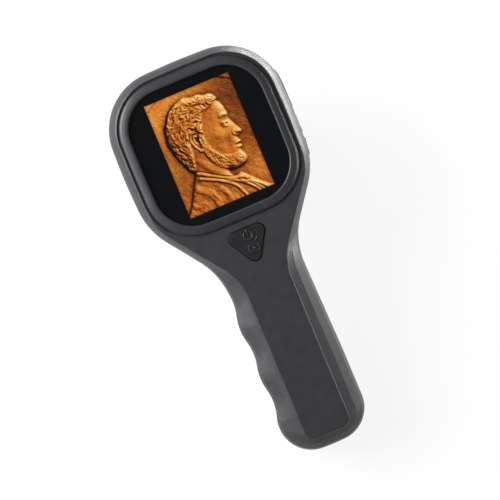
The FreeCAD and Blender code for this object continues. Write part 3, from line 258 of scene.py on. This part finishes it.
NODE_FINISH = {
    "housing": "front_shell rear_shell",
    "ring": "focus_ring",
    "key": "power_button side_rocker_key side_key_middle side_key_lower",
    "window": "cover_glass",
    "clear": "clear_hood",
    "lens": "objective_lens rear_lens",
    "panel": "display_panel",
    "inner": "display_frame lens_sleeve lens_barrel lens_spacer",
    "board": "main_board power_key_board side_key_board usb_board lamp_board sensor_board",
    "chip": "board_chips side_switches image_sensor",
    "steel": "card_socket power_switch usb_socket case_screws sleeve_screws sensor_screws",
    "brass": "lens_retainer drive_pins",
    "cell": "battery",
    "foam": "glass_gasket battery_pad",
    "lamp": "lamps",
    "cable": "display_cable key_cable",
}


def dress_nodes():
    """Each CAD part keeps its own mesh and gets its finish."""
    for finish, names in NODE_FINISH.items():
        for name in names.split():
            slots = NODES[name].data.materials
            slots.clear()
            slots.append(FINISHES[finish])


# Pieces


def mesh_piece(name, points, faces, finish, body, smooth=True):
    """A piece from points in mm from the screen's centre, riding on a body."""
    data = bpy.data.meshes.new(name)
    data.from_pydata([device(*p) for p in points], [], faces)
    data.polygons.foreach_set("use_smooth", [smooth] * len(data.polygons))
    data.materials.append(finish)
    data.update()
    piece = bpy.data.objects.new(name, data)
    bpy.context.scene.collection.objects.link(piece)
    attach(piece, body)
    return piece


def arc(x, y, radius, start, end, steps=20):
    """Points on an arc, its angles in degrees from the right, counter-clockwise."""
    turns = [math.radians(start + (end - start) * k / steps) for k in range(steps + 1)]
    return [(x + radius * math.cos(t), y + radius * math.sin(t)) for t in turns]


def ridge_rings(path, half):
    """Places and half-widths along a path, with round ends and the way each of their rings faces."""
    rings = [(p, half, None) for p in path]
    steps, least = 3, 0.001
    for end, inner in ((0, 1), (-1, -2)):
        tip, before = Vector((*path[end], 0)), Vector((*path[inner], 0))
        way = (tip - before).normalized()
        for k in range(1, steps + 1):
            turn = math.pi / 2 * k / steps
            place = tip + way * half * math.sin(turn)
            ring = ((place.x, place.y), half * math.cos(turn) + least, way if end else -way)
            rings.insert(0, ring) if end == 0 else rings.append(ring)
    return rings


def ridges(name, paths, half, rise, level, finish, body):
    """Half-round ridges along paths of (x, y), standing on a face at that level."""
    points, faces = [], []
    across, sunk = 8, 0.03
    for path in paths:
        rings = ridge_rings(path, half)
        first = len(points)
        for k, (place, wide, way) in enumerate(rings):
            before, after = rings[max(k - 1, 0)][0], rings[min(k + 1, len(rings) - 1)][0]
            way = way or Vector((after[0] - before[0], after[1] - before[1], 0)).normalized()
            side = Vector((-way.y, way.x, 0))
            for n in range(across + 1):
                turn = math.pi * n / across
                off = wide * math.cos(turn)
                high = rise * wide / half * math.sin(turn) - sunk
                points.append((place[0] + side.x * off, place[1] + side.y * off, level + high))
        for k in range(len(rings) - 1):
            low = first + k * (across + 1)
            for n in range(across):
                a = low + n
                faces.append((a, a + 1, a + across + 2, a + across + 1))
    mesh_piece(name, points, faces, finish, body)


def key_ridges(name, paths, half, rise):
    """Ridges on the power key's face, coloured lighter than the key as a painted highlight."""
    ridges(name, paths, half, rise, POWER_KEY_TOP, FINISHES["sign"], "power_button")


def key_symbols():
    """The power sign, a stroke and a picture sign, raised on the power key."""
    half, rise = 0.24, 0.28
    power = [arc(0.3, -33.0, 1.5, 128, 412), [(0.3, -31.1), (0.3, -32.9)]]
    key_ridges("power_sign", power, half, rise)
    stroke = [[(2.2, -35.3), (3.0, -34.5)]]
    x, y, wide, high, corner, dot_r = 0.7, -37.6, 1.75, 1.2, 0.5, 0.36
    frame_line = []
    for sx, sy, start in ((1, 1, 0), (-1, 1, 90), (-1, -1, 180), (1, -1, 270)):
        frame_line += arc(x + sx * (wide - corner), y + sy * (high - corner), corner, start, start + 90, 6)
    frame_line.append(frame_line[0])
    dot = [arc(x, y, dot_r, 0, 360, 16)]
    key_ridges("picture_sign", [frame_line] + dot + stroke, half * 0.85, rise)


def rounded(corners, offset=0.0, steps=16):
    """Tangent arcs at corners (x, y, radius), anticlockwise and closed, moved outwards by offset."""
    points = []
    for k, (x, y, radius) in enumerate(corners):
        here = Vector((x, y))
        before = (here - Vector(corners[k - 1][:2])).normalized()
        after = (Vector(corners[(k + 1) % len(corners)][:2]) - here).normalized()
        turn = before.angle(after)
        middle = here + (after - before).normalized() * radius / math.cos(turn / 2)
        first = math.atan2(-before.x, before.y)
        for n in range(steps + 1):
            way = first + turn * n / steps
            reach = radius + offset
            points.append((middle.x + reach * math.cos(way), middle.y + reach * math.sin(way)))
    return points


def glass_corners():
    """The window's outline: a square with bowed sides and round corners."""
    corners = []
    for x, y in ((1, 0), (0, 1), (-1, 0), (0, -1)):
        corners.append((x * WINDOW_HALF, y * WINDOW_HALF, HEAD_BOW_R))
        corners.append(((x - y) * WINDOW_CORNER_AT, (x + y) * WINDOW_CORNER_AT, WINDOW_CORNER_R))
    return corners


def bezel_roll():
    """The rolled rim round the window: a quick rise from the glass and a long fall into the groove.

    The section is in mm out from the window's edge and up from the head's flat face.
    """
    section = [
        (-0.02, 0.11), (0.0, 0.5), (0.05, 0.80), (0.18, 0.96), (0.4, 1.03), (0.8, 1.03), (1.2, 0.975),
        (1.6, 0.885), (2.0, 0.77), (2.4, 0.6), (2.75, 0.4), (3.05, 0.16), (3.25, -0.1), (3.34, -0.35),
        (3.36, -0.61),
    ]  # fmt: skip
    rows = [rounded(glass_corners(), away) for away, _ in section]
    around = len(rows[0])
    points = [(x, y, z) for row, (_, z) in zip(rows, section) for x, y in row]
    faces = []
    for k in range(len(section) - 1):
        for n in range(around):
            after = (n + 1) % around
            faces.append((k * around + n, (k + 1) * around + n, (k + 1) * around + after, k * around + after))
    mesh_piece("bezel_roll", points, faces, FINISHES["housing"], "root")


def key_crown(name, span, body, dish):
    """A soft rubber crown on a side key, standing out from the head's wall and following its bow.

    It stands proud of the wall, as found at the level wall_z by a ray from outside, and no farther
    out than the farthest place. Its edge is given as how far in and how far below the top.
    """
    proud, farthest, wall_z, outside, per_mm = 0.46, 31.4, -9.0, 60, 6
    edge = ((0.0, 0.8), (0.0, 0.2), (0.03, 0.1), (0.09, 0.03), (0.2, 0.0))
    shell = NODES["rear_shell"].data
    wall = BVHTree.FromPolygons([v.co for v in shell.vertices], [p.vertices[:] for p in shell.polygons])
    middle, half = span

    def across(half_span, count):
        """Places across the crown, each with its drop, close together at the rounded edges."""
        inner = half_span - edge[-1][0]
        low = [(-half_span + inset, drop) for inset, drop in edge[:-1]]
        flat = [(-inner + 2 * inner * k / (count - 1), 0.0) for k in range(count)]
        return low + flat + [(-place, drop) for place, drop in reversed(low)]

    columns, rows = across(half, int(per_mm * half)), across(1.0, 7)
    points, faces = [], []
    for y_off, drop in columns:
        hit = wall.ray_cast(device(outside, middle + y_off, wall_z), -RIGHT)[0]
        face = min((hit - ORIGIN).dot(RIGHT) / MM + proud, farthest) - dish * (1 - (y_off / half) ** 2)
        past = max(abs(y_off) - half + SIDE_KEY_ROUND, 0)
        reach = SIDE_KEY_HALF_HEIGHT - SIDE_KEY_ROUND + math.sqrt(SIDE_KEY_ROUND**2 - past**2)
        for share, drop_row in rows:
            points.append((face - max(drop, drop_row), middle + y_off, SIDE_KEY_Z + share * reach))
    for k in range(len(columns) - 1):
        for n in range(len(rows) - 1):
            a = k * len(rows) + n
            faces.append((a, a + 1, a + len(rows) + 1, a + len(rows)))
    mesh_piece(name, points, faces, FINISHES["key"], body)


def key_crowns():
    """A plain crown on the rocker, and dished ones on the two keys below it."""
    dish = 0.16
    key_crown("rocker_crown", ROCKER, "rocker_key", 0.0)
    key_crown("middle_crown", MIDDLE_KEY, "middle_key", dish)
    key_crown("lower_crown", LOWER_KEY, "lower_key", dish)


def lamp_faces():
    """A domed yellow light face on each lamp inside the hood."""
    yellow = moulded("lamp_phosphor", (0.75, 0.56, 0.09), 0.4, 0.25, 0.004, 0.1)
    points, faces = [], []
    rings, around = 4, 24
    radius, crown, sunk = 1.0, 0.12, 0.02
    for lamp in range(LAMP_COUNT):
        turn = 2 * math.pi * (lamp + 0.5) / LAMP_COUNT
        x, y = LAMP_RING_R * math.cos(turn), LAMP_RING_R * math.sin(turn)
        first = len(points)
        points.append((x, y, LAMP_FACE_Z - crown))
        for ring in range(1, rings + 1):
            share = ring / rings
            for k in range(around):
                a = 2 * math.pi * k / around
                level = LAMP_FACE_Z - crown + (crown + sunk) * share**2
                points.append((x + radius * share * math.cos(a), y + radius * share * math.sin(a), level))
        for k in range(around):
            faces.append((first, first + 1 + (k + 1) % around, first + 1 + k))
        for ring in range(rings - 1):
            low = first + 1 + ring * around
            for k in range(around):
                after = (k + 1) % around
                faces.append((low + k, low + after, low + around + after, low + around + k))
    mesh_piece("lamp_faces", points, faces, yellow, "root")


# The picture on the screen: a coin in relief, seen through the microscope

WIDE, HIGH = 30.6, 40.8
COLUMNS, ROWS = 236, 314
X, Y = np.meshgrid(np.linspace(-WIDE / 2, WIDE / 2, COLUMNS), np.linspace(-HIGH / 2, HIGH / 2, ROWS))
STEP = WIDE / (COLUMNS - 1)


def cloud(size, seed, octaves=3, x=X, y=Y):
    """A smooth random field from -1 to 1 whose features are about size mm."""
    cells, middle, fall = 64, (21.7, 33.1), 0.55
    total, weight, sum_of = 0.0, 1.0, 0.0
    for k in range(octaves):
        table = np.random.default_rng(seed + k).uniform(-1, 1, (cells, cells))
        u, v = x / size * 2**k + middle[0], y / size * 2**k + middle[1]
        iu, iv = np.floor(u).astype(int), np.floor(v).astype(int)
        fu, fv = u - iu, v - iv
        fu, fv = fu * fu * (3 - 2 * fu), fv * fv * (3 - 2 * fv)
        left, right, low, high = iu % cells, (iu + 1) % cells, iv % cells, (iv + 1) % cells
        a = table[left, low] * (1 - fu) + table[right, low] * fu
        b = table[left, high] * (1 - fu) + table[right, high] * fu
        total = total + weight * (a * (1 - fv) + b * fv)
        sum_of += weight
        weight *= fall
    return total / sum_of


def curve(points, closed=True, steps=8):
    """A smooth line through the points."""
    p = np.array(points, float)
    n = len(p)
    out = []
    spans = n if closed else n - 1
    for k in range(spans):
        if closed:
            a, b, c, d = p[(k - 1) % n], p[k], p[(k + 1) % n], p[(k + 2) % n]
        else:
            a, b, c, d = p[max(k - 1, 0)], p[k], p[k + 1], p[min(k + 2, n - 1)]
        for t in np.arange(steps) / steps:
            even = 2 * b + (c - a) * t + (2 * a - 5 * b + 4 * c - d) * t**2
            out.append((even + (3 * b - a - 3 * c + d) * t**3) / 2)
    if not closed:
        out.append(p[-1])
    return np.array(out)


def to_segment(x, y, a, b):
    """Distance in mm from each point to the line from a to b, and how far along it lies."""
    dx, dy = b[0] - a[0], b[1] - a[1]
    along = np.clip(((x - a[0]) * dx + (y - a[1]) * dy) / max(dx * dx + dy * dy, 1e-9), 0, 1)
    return np.hypot(x - a[0] - along * dx, y - a[1] - along * dy), along


def depth_in(outline):
    """Distance in mm inside a closed outline, negative outside it."""
    nearest = np.full(X.shape, 1e9)
    inside = np.zeros(X.shape, bool)
    for a, b in zip(outline, np.roll(outline, -1, axis=0)):
        nearest = np.minimum(nearest, to_segment(X, Y, a, b)[0])
        if a[1] != b[1]:
            crosses = (Y > min(a[1], b[1])) & (Y <= max(a[1], b[1]))
            inside ^= crosses & (X < a[0] + (Y - a[1]) * (b[0] - a[0]) / (b[1] - a[1]))
    return np.where(inside, nearest, -nearest)


def dome(depth, reach, rise):
    """Height of a rounded relief that rises from its outline over reach mm."""
    share = np.clip(depth / reach, 0, 1)
    return rise * np.sqrt(1 - (1 - share) ** 2)


def hump(x, y, wide, high, turn=0.0):
    """A soft round swelling of height one."""
    c, s = math.cos(math.radians(turn)), math.sin(math.radians(turn))
    u, v = (X - x) * c + (Y - y) * s, -(X - x) * s + (Y - y) * c
    return np.exp(-((u / wide) ** 2) - (v / high) ** 2)


def strand(field, path, width, rise, taper=True):
    """Raises a rounded strand along a path."""
    path = np.asarray(path)
    low, high = path.min(0) - width, path.max(0) + width
    left, right = ((np.array([low[0], high[0]]) + WIDE / 2) / STEP).astype(int) + (0, 2)
    base, top = ((np.array([low[1], high[1]]) + HIGH / 2) / STEP).astype(int) + (0, 2)
    left, base = max(left, 0), max(base, 0)
    if right <= left or top <= base or left >= COLUMNS or base >= ROWS:
        return
    part = np.s_[base:top, left:right]
    x, y = X[part], Y[part]
    spans = len(path) - 1
    for k in range(spans):
        distance, along = to_segment(x, y, path[k], path[k + 1])
        share = (k + along) / spans
        thin = np.sin(np.pi * np.clip(share * 0.88 + 0.08, 0, 1)) ** 0.6 if taper else 1.0
        reach = width * thin
        lift = rise * thin * np.sqrt(np.clip(1 - (distance / np.maximum(reach, 1e-6)) ** 2, 0, 1))
        field[part] = np.maximum(field[part], lift)


def soften(field, size):
    """The field smoothed over size mm."""
    reach = max(int(2 * size / STEP), 1)
    k = np.arange(-reach, reach + 1) * STEP
    weights = np.exp(-((k / size) ** 2))
    weights /= weights.sum()
    padded = np.pad(field, reach, mode="edge")
    rows = np.array([np.convolve(r, weights, "valid") for r in padded])
    return np.array([np.convolve(c, weights, "valid") for c in rows.T]).T


def locks(mask, seed, count, length, width, rise, flow, curl):
    """Many short curved strands, each following the flow with a curl of its own."""
    random = np.random.default_rng(seed)
    field = np.zeros(X.shape)
    rows, columns = np.nonzero(mask > 0)
    for pick in random.integers(0, len(rows), count):
        x, y = X[rows[pick], columns[pick]], Y[rows[pick], columns[pick]]
        bend, phase = random.normal(0, curl), random.uniform(0, 2 * math.pi)
        long, steps = length * random.uniform(0.6, 1.4), 7
        swing = random.uniform(0.5, 1.0) * curl
        path = []
        for k in range(steps):
            path.append((x, y))
            turn = flow(x, y) + bend * (k / steps - 0.5) + swing * math.sin(phase + 1.6 * k)
            x, y = x + long / steps * math.cos(turn), y + long / steps * math.sin(turn)
        strand(field, path, width * random.uniform(0.7, 1.3), rise * random.uniform(0.5, 1.0))
    return field * np.clip(mask / 0.5, 0, 1)


# Outlines in mm from the picture's centre
HAIR = [
    (8.1, 13.4), (8.0, 14.9), (6.6, 16.3), (4.4, 16.7), (2.4, 17.5), (0.0, 17.6), (-2.4, 18.3), (-5.0, 17.6),
    (-7.2, 16.5), (-9.2, 14.9), (-10.6, 12.7), (-12.1, 10.4), (-12.5, 7.8), (-13.0, 5.2), (-12.4, 2.6),
    (-11.8, 0.2), (-10.8, -2.2), (-10.0, -4.4), (-8.8, -6.4), (-7.4, -6.2), (-6.4, -3.6), (-5.9, -0.8),
    (-5.6, 2.4), (-5.0, 5.2), (-3.2, 5.9), (-1.6, 5.2), (-0.4, 4.2), (0.5, 6.6), (1.4, 9.4), (3.2, 11.4),
    (5.6, 12.2),
]  # fmt: skip
FACE = [
    (7.2, 13.8), (8.6, 12.5), (9.35, 10.9), (9.7, 9.3), (9.9, 8.0), (9.55, 6.5), (9.75, 5.5), (10.5, 4.0),
    (11.4, 2.3), (12.05, 1.0), (11.85, 0.15), (10.9, -0.35), (9.95, -0.75), (10.05, -1.5), (10.5, -2.35),
    (10.25, -3.0), (9.75, -3.3), (10.2, -3.65), (10.3, -4.35), (9.65, -5.1), (9.6, -5.9), (10.2, -7.0),
    (10.3, -8.4), (9.4, -9.7), (7.4, -10.4), (5.0, -10.5), (3.2, -9.9), (3.2, -11.4), (3.9, -13.6),
    (0.0, -14.4), (-5.0, -11.6), (-8.4, -7.4), (-9.4, -2.0), (-9.6, 6.0), (-6.0, 12.0), (0.0, 15.0),
    (4.0, 15.0),
]  # fmt: skip
BEARD = [
    (-2.3, 4.6), (-0.6, 4.4), (-0.3, 1.4), (0.8, -1.8), (2.8, -4.2), (5.4, -5.5), (7.8, -5.6), (9.4, -5.4),
    (10.3, -6.8), (10.6, -8.4), (9.6, -9.9), (7.4, -10.7), (4.8, -10.8), (2.0, -9.6), (-0.4, -7.2),
    (-2.0, -4.0), (-2.7, -0.4),
]  # fmt: skip
COAT = [
    (-7.6, -6.6), (-9.2, -9.0), (-11.0, -12.2), (-13.2, -16.2), (-16.2, -20.6), (-17.0, -24.0), (17.0, -24.0),
    (16.6, -21.6), (13.2, -18.9), (10.2, -16.0), (7.9, -13.5), (6.3, -12.3), (4.2, -12.6), (1.4, -11.6),
    (-2.4, -9.4), (-5.6, -7.2),
]  # fmt: skip


EAR_RIM = [(-2.4, 5.4), (-3.4, 6.0), (-4.6, 5.5), (-5.2, 4.0), (-4.9, 2.2), (-4.2, 0.6), (-3.2, -0.6)]


def combed(x, y):
    """The way the hair lies: from the brow over the crown and down the back."""
    turn = math.atan2(x + 1.2, -(y - 4.5)) + 0.55 * math.sin(1.3 * x + 0.4 * y)
    return turn + 0.4 * math.sin(1.1 * y - 0.7 * x)


def bearded(x, y):
    """The way the beard lies: down the cheek and forward along the jaw."""
    return math.radians(-100 + 9 * min(max(x + 2, 0), 9)) + 0.8 * math.sin(2.3 * x + 1.7 * y)


def drawn(points):
    """The path through a few points as a smooth open line."""
    return curve(points, closed=False, steps=6)


def features():
    """Height of brow, eye, nose, mouth, cheek and ear above the face's round."""
    raised = np.zeros(X.shape)
    for path, width, rise in (
        ([(6.7, 7.4), (7.7, 8.0), (8.8, 7.9), (9.6, 7.3)], 0.75, 0.42),
        ([(6.5, 4.7), (7.2, 5.35), (8.0, 5.4), (8.75, 4.85)], 0.34, 0.34),
        ([(6.9, 4.3), (7.6, 3.9), (8.5, 4.15)], 0.3, 0.28),
        ([(9.7, 1.9), (9.1, 1.0), (9.3, 0.2), (10.0, 0.1)], 0.42, 0.3),
        ([(8.6, -2.9), (9.3, -2.55), (10.2, -2.5)], 0.4, 0.26),
        ([(8.7, -3.9), (9.4, -4.15), (10.1, -4.1)], 0.42, 0.28),
        (EAR_RIM, 0.52, 0.62),
        ([(-2.9, 4.3), (-3.7, 4.6), (-4.2, 3.7), (-3.9, 2.5), (-3.3, 1.6)], 0.36, 0.42),
        ([(-2.5, 3.2), (-2.2, 2.4), (-2.5, 1.7)], 0.4, 0.4),
        ([(-3.6, -0.2), (-3.1, -0.9), (-2.6, -0.3)], 0.55, 0.5),
    ):
        strand(raised, drawn(path), width, rise)
    raised = soften(raised, 0.16)
    raised += 0.42 * hump(4.9, 1.7, 2.6, 2.0, -20) + 0.22 * hump(7.65, 4.75, 0.75, 0.6)
    raised -= 0.42 * hump(8.3, 6.0, 1.4, 0.9) + 0.25 * hump(6.2, 4.7, 1.2, 1.4)
    raised -= 0.3 * hump(6.4, -1.6, 1.6, 2.2, 10) + 0.5 * hump(-3.3, 2.9, 0.7, 1.0)
    raised -= 0.5 * hump(10.6, 0.05, 0.45, 0.22) + 0.3 * hump(9.2, -3.3, 0.95, 0.2)
    raised -= 0.55 * hump(8.3, 4.72, 0.34, 0.4)
    raised += 0.25 * hump(7.0, 10.5, 2.2, 2.2) - 0.12 * hump(3.4, 7.4, 1.6, 2.4)
    return raised


def clothing(coat):
    """Height of the coat's collar, lapels, folds and tie."""
    raised = np.zeros(X.shape)
    for path, width, rise in (
        ([(-7.4, -7.4), (-4.4, -8.9), (-0.6, -11.0), (3.0, -13.0), (6.4, -13.9)], 0.8, 0.5),
        ([(-7.2, -9.4), (-3.6, -11.2), (0.4, -13.4), (3.0, -15.6), (4.6, -18.4), (6.0, -22.0)], 0.55, 0.45),
        ([(0.4, -13.4), (2.9, -13.9), (5.2, -15.2)], 0.45, 0.4),
        ([(5.6, -15.4), (7.6, -17.2), (9.6, -19.6), (11.2, -22.0)], 0.5, 0.4),
        ([(8.6, -16.2), (11.0, -18.2), (13.4, -20.6)], 0.45, 0.34),
        ([(7.6, -15.8), (9.6, -18.0), (11.4, -20.4)], 0.35, 0.3),
        ([(-9.0, -12.6), (-6.2, -14.6), (-4.6, -17.6), (-4.4, -22.0)], 1.3, 0.22),
        ([(-12.2, -17.4), (-9.4, -18.0), (-7.6, -20.6)], 1.0, 0.16),
        ([(-1.8, -14.8), (-0.4, -17.2), (0.2, -20.8)], 0.9, 0.16),
        ([(5.4, -13.6), (6.6, -14.0), (7.7, -14.9)], 0.7, 0.5),
        ([(7.0, -13.4), (7.9, -14.2), (8.6, -14.4)], 0.6, 0.5),
        ([(5.4, -14.9), (6.4, -15.6), (7.2, -16.1)], 0.55, 0.45),
    ):
        strand(raised, drawn(path), width, rise, taper=False)
    raised = soften(raised, 0.14)
    weave = 0.13 * cloud(2.0, 71, 4) + 0.03 * np.sin(2.2 * (X + 0.6 * Y) + 3.5 * cloud(4.0, 75, 2))
    return (raised + weave) * np.clip(coat / 0.4, 0, 1)


def relief():
    """Height of the coin in mm, and how much of each point is hair, beard, skin or coat."""
    hair, face, beard, coat = (depth_in(curve(o)) for o in (HAIR, FACE, BEARD, COAT))
    head = np.maximum(hair, face)
    height = dome(head, 2.6, 1.5) + features() * np.clip(face / 0.3, 0, 1) * (hair < 0)
    height = height + soften(np.where(hair > 0, 0.35, 0.0), 0.25)
    height = height + locks(hair, 11, 460, 3.8, 0.62, 0.85, combed, 0.8)
    height = height + soften(np.where(beard > 0, 0.18, 0.0), 0.3)
    height = height + locks(beard, 23, 520, 1.5, 0.34, 0.36, bearded, 0.9)
    neck = np.zeros(X.shape)
    strand(neck, drawn([(-5.6, -3.4), (-2.8, -6.8), (0.6, -10.2), (2.6, -12.4)]), 1.5, 0.3)
    height = height + soften(neck, 0.4) * (head > 0)
    cloth = dome(coat, 1.6, 1.15) + clothing(coat)
    height = np.where(coat > 0, np.maximum(cloth, height * np.clip(1 - coat / 0.35, 0, 1)), height)
    rim = np.hypot(X, Y + 4.2) - 26.9
    height = height + 0.3 * dome(rim, 0.8, 1.0)
    worn = 0.07 * cloud(1.3, 31, 3) + 0.034 * cloud(0.35, 37, 2)
    return soften(height, 0.09) + worn, np.clip(np.maximum(head, coat) / 0.3, 0, 1)


# Tone from 0 to 1, and the screen colour it shows as
COPPER = (
    (0.00, (22, 9, 4)), (0.16, (64, 27, 8)), (0.34, (126, 62, 16)), (0.52, (190, 108, 30)),
    (0.66, (224, 146, 52)), (0.78, (236, 178, 94)), (0.9, (244, 214, 152)), (1.0, (252, 238, 205)),
)  # fmt: skip


def picture_colours():
    """The lit relief as screen colours: light from the upper right, copper tones."""
    height, raised = relief()
    down, across = np.gradient(height, STEP)
    light = np.array([0.60, 0.46, 0.65])
    light /= np.linalg.norm(light)
    facing = (-across * light[0] - down * light[1] + light[2]) / np.sqrt(across**2 + down**2 + 1)
    hollow = height - soften(height, 0.7)
    wide_hollow = height - soften(height, 2.0)
    tone = 0.51 + 0.92 * (facing - light[2]) + 0.40 * hollow + 0.12 * wide_hollow
    tone = tone + 0.06 * cloud(1.6, 51, 4) + 0.05 * cloud(0.3, 57, 2)
    tone = tone + 0.12 * hump(6.2, 9.0, 3.2, 4.0) + 0.06 * hump(4.5, 1.5, 3.0, 3.0)
    tone = tone - 0.12 * hump(-9, 2, 4, 11, 8)
    field = 0.12 * np.clip((-X + 0.6 * Y) / 18, -1, 1) + 0.13 * hump(13, -12, 9, 9)
    field = field - 0.16 * hump(13, 13, 9, 12) - 0.10 * hump(-14, -9, 5, 12) + 0.08 * cloud(5.0, 67, 3)
    tone = tone + np.where(raised > 0.5, 0.3, 1.0) * field
    tone = np.clip(tone, 0, 1)
    marks = [t for t, _ in COPPER]
    shades = np.stack([np.interp(tone, marks, [c[k] for _, c in COPPER]) for k in range(3)], -1)
    warm = 0.5 + 0.5 * cloud(3.5, 61, 3)
    shades[..., 1] *= 0.87 + 0.22 * warm
    shades[..., 2] *= 0.75 + 0.5 * warm
    edge = np.minimum(np.minimum(X + WIDE / 2, WIDE / 2 - X), np.minimum(Y + HIGH / 2, HIGH / 2 - Y))
    shades *= (0.82 + 0.18 * np.clip(edge / 0.8, 0, 1))[..., None]
    shades = np.clip(shades / 255, 0, 1)
    return np.where(shades <= 0.04045, shades / 12.92, ((shades + 0.055) / 1.055) ** 2.4)


def screen_picture():
    """A fine grid just above the glass that carries the picture's colours."""
    level = GLASS_RISE + 0.02
    points = [(x, y, level) for x, y in zip(X.ravel(), Y.ravel())]
    corner = (np.arange(ROWS - 1)[:, None] * COLUMNS + np.arange(COLUMNS - 1)).ravel()
    faces = np.stack([corner, corner + 1, corner + COLUMNS + 1, corner + COLUMNS], 1).tolist()
    piece = mesh_piece("screen_picture", points, faces, picture_face(), "root", smooth=False)
    colours = np.concatenate([picture_colours().reshape(-1, 3), np.ones((ROWS * COLUMNS, 1))], 1)
    stored = piece.data.color_attributes.new("picture", "FLOAT_COLOR", "POINT")
    stored.data.foreach_set("color", colours.ravel())


# Studio


def camera():
    """Square above the screen, turned as the photograph is."""
    turn = math.radians(22.75)
    across, reach = 168.6, 1000.0  # the view's width and the camera's distance, in mm
    aim_x, aim_y = -0.95, -37.86
    made = bpy.data.cameras.new("camera")
    made.sensor_width = 36.0
    made.lens = made.sensor_width * reach / across
    made.clip_start, made.clip_end = 0.01, 20.0
    view = bpy.data.objects.new("camera", made)
    bpy.context.scene.collection.objects.link(view)
    side = RIGHT * math.cos(turn) - UP * math.sin(turn)
    top = RIGHT * math.sin(turn) + UP * math.cos(turn)
    axes = Matrix((side, top, OUT)).transposed().to_4x4()
    view.matrix_world = Matrix.Translation(device(aim_x, aim_y, reach)) @ axes
    bpy.context.scene.camera = view


def softbox(name, place, aim, wide, high, power):
    """A rectangular lamp, wide and high in metres, power in watts."""
    data = bpy.data.lights.new(name, "AREA")
    data.shape, data.size, data.size_y = "RECTANGLE", wide, high
    data.energy = power
    lamp = bpy.data.objects.new(name, data)
    bpy.context.scene.collection.objects.link(lamp)
    lamp.location = place
    lamp.rotation_euler = (Vector(aim) - Vector(place)).to_track_quat("-Z", "Y").to_euler()


def plain_white(tree, seen):
    """One where the camera looks straight at the surface, or through gloss or glass where seen lists them."""
    path = tree.nodes.new("ShaderNodeLightPath")
    total = path.outputs["Is Camera Ray"]
    for name in seen:
        add = tree.nodes.new("ShaderNodeMath")
        add.operation = "MAXIMUM"
        tree.links.new(total, add.inputs[0])
        tree.links.new(path.outputs[name], add.inputs[1])
        total = add.outputs[0]
    return total


def floor():
    """A wide pale floor that keeps a soft shadow and shows white."""
    half, white_share = 2.5, 0.88
    data = bpy.data.meshes.new("floor")
    corners = [(-half, -half, 0), (half, -half, 0), (half, half, 0), (-half, half, 0)]
    data.from_pydata(corners, [], [(0, 1, 2, 3)])
    made = bpy.data.materials.new("pale_floor")
    made.use_nodes = True
    tree = made.node_tree
    tree.nodes.clear()
    out = tree.nodes.new("ShaderNodeOutputMaterial")
    mix = tree.nodes.new("ShaderNodeMixShader")
    paper = tree.nodes.new("ShaderNodeBsdfDiffuse")
    paper.inputs["Color"].default_value = (0.86, 0.86, 0.86, 1)
    white = tree.nodes.new("ShaderNodeEmission")
    white.inputs["Color"].default_value = (1, 1, 1, 1)
    white.inputs["Strength"].default_value = 1.0
    share = tree.nodes.new("ShaderNodeMath")
    share.operation = "MULTIPLY"
    share.inputs[1].default_value = white_share
    tree.links.new(plain_white(tree, ("Is Glossy Ray", "Is Transmission Ray")), share.inputs[0])
    tree.links.new(share.outputs[0], mix.inputs[0])
    tree.links.new(paper.outputs[0], mix.inputs[1])
    tree.links.new(white.outputs[0], mix.inputs[2])
    tree.links.new(mix.outputs[0], out.inputs["Surface"])
    data.materials.append(made)
    piece = bpy.data.objects.new("floor", data)
    bpy.context.scene.collection.objects.link(piece)


def world():
    """Bright towards the horizon, darker overhead, white to the camera."""
    horizon, overhead, fades_until = 0.42, 0.30, 0.9
    made = bpy.data.worlds.new("studio")
    bpy.context.scene.world = made
    made.use_nodes = True
    tree = made.node_tree
    tree.nodes.clear()
    out = tree.nodes.new("ShaderNodeOutputWorld")
    sky = tree.nodes.new("ShaderNodeBackground")
    white = tree.nodes.new("ShaderNodeBackground")
    white.inputs["Color"].default_value = (1, 1, 1, 1)
    mix = tree.nodes.new("ShaderNodeMixShader")
    place = tree.nodes.new("ShaderNodeTexCoord")
    split = tree.nodes.new("ShaderNodeSeparateXYZ")
    fade = tree.nodes.new("ShaderNodeMapRange")
    fade.inputs["From Min"].default_value = 0.0
    fade.inputs["From Max"].default_value = fades_until
    fade.inputs["To Min"].default_value = horizon
    fade.inputs["To Max"].default_value = overhead
    tree.links.new(place.outputs["Generated"], split.inputs[0])
    tree.links.new(split.outputs["Z"], fade.inputs["Value"])
    tree.links.new(fade.outputs["Result"], sky.inputs["Color"])
    tree.links.new(plain_white(tree, ()), mix.inputs[0])
    tree.links.new(sky.outputs[0], mix.inputs[1])
    tree.links.new(white.outputs[0], mix.inputs[2])
    tree.links.new(mix.outputs[0], out.inputs["Surface"])


def studio():
    """The camera, the floor, the surroundings and two lamps: from the upper left, and low on the right."""
    camera()
    floor()
    world()
    softbox("key", device(-470, 290, 270), device(0, -20), 0.5, 0.4, 8.5)
    softbox("rim", device(150, 20, -50), device(30, -10, -14), 0.36, 0.03, 1.25)
    bpy.context.scene.view_settings.view_transform = "Standard"


dress_nodes()
bezel_roll()
key_symbols()
key_crowns()
lamp_faces()
screen_picture()
studio()
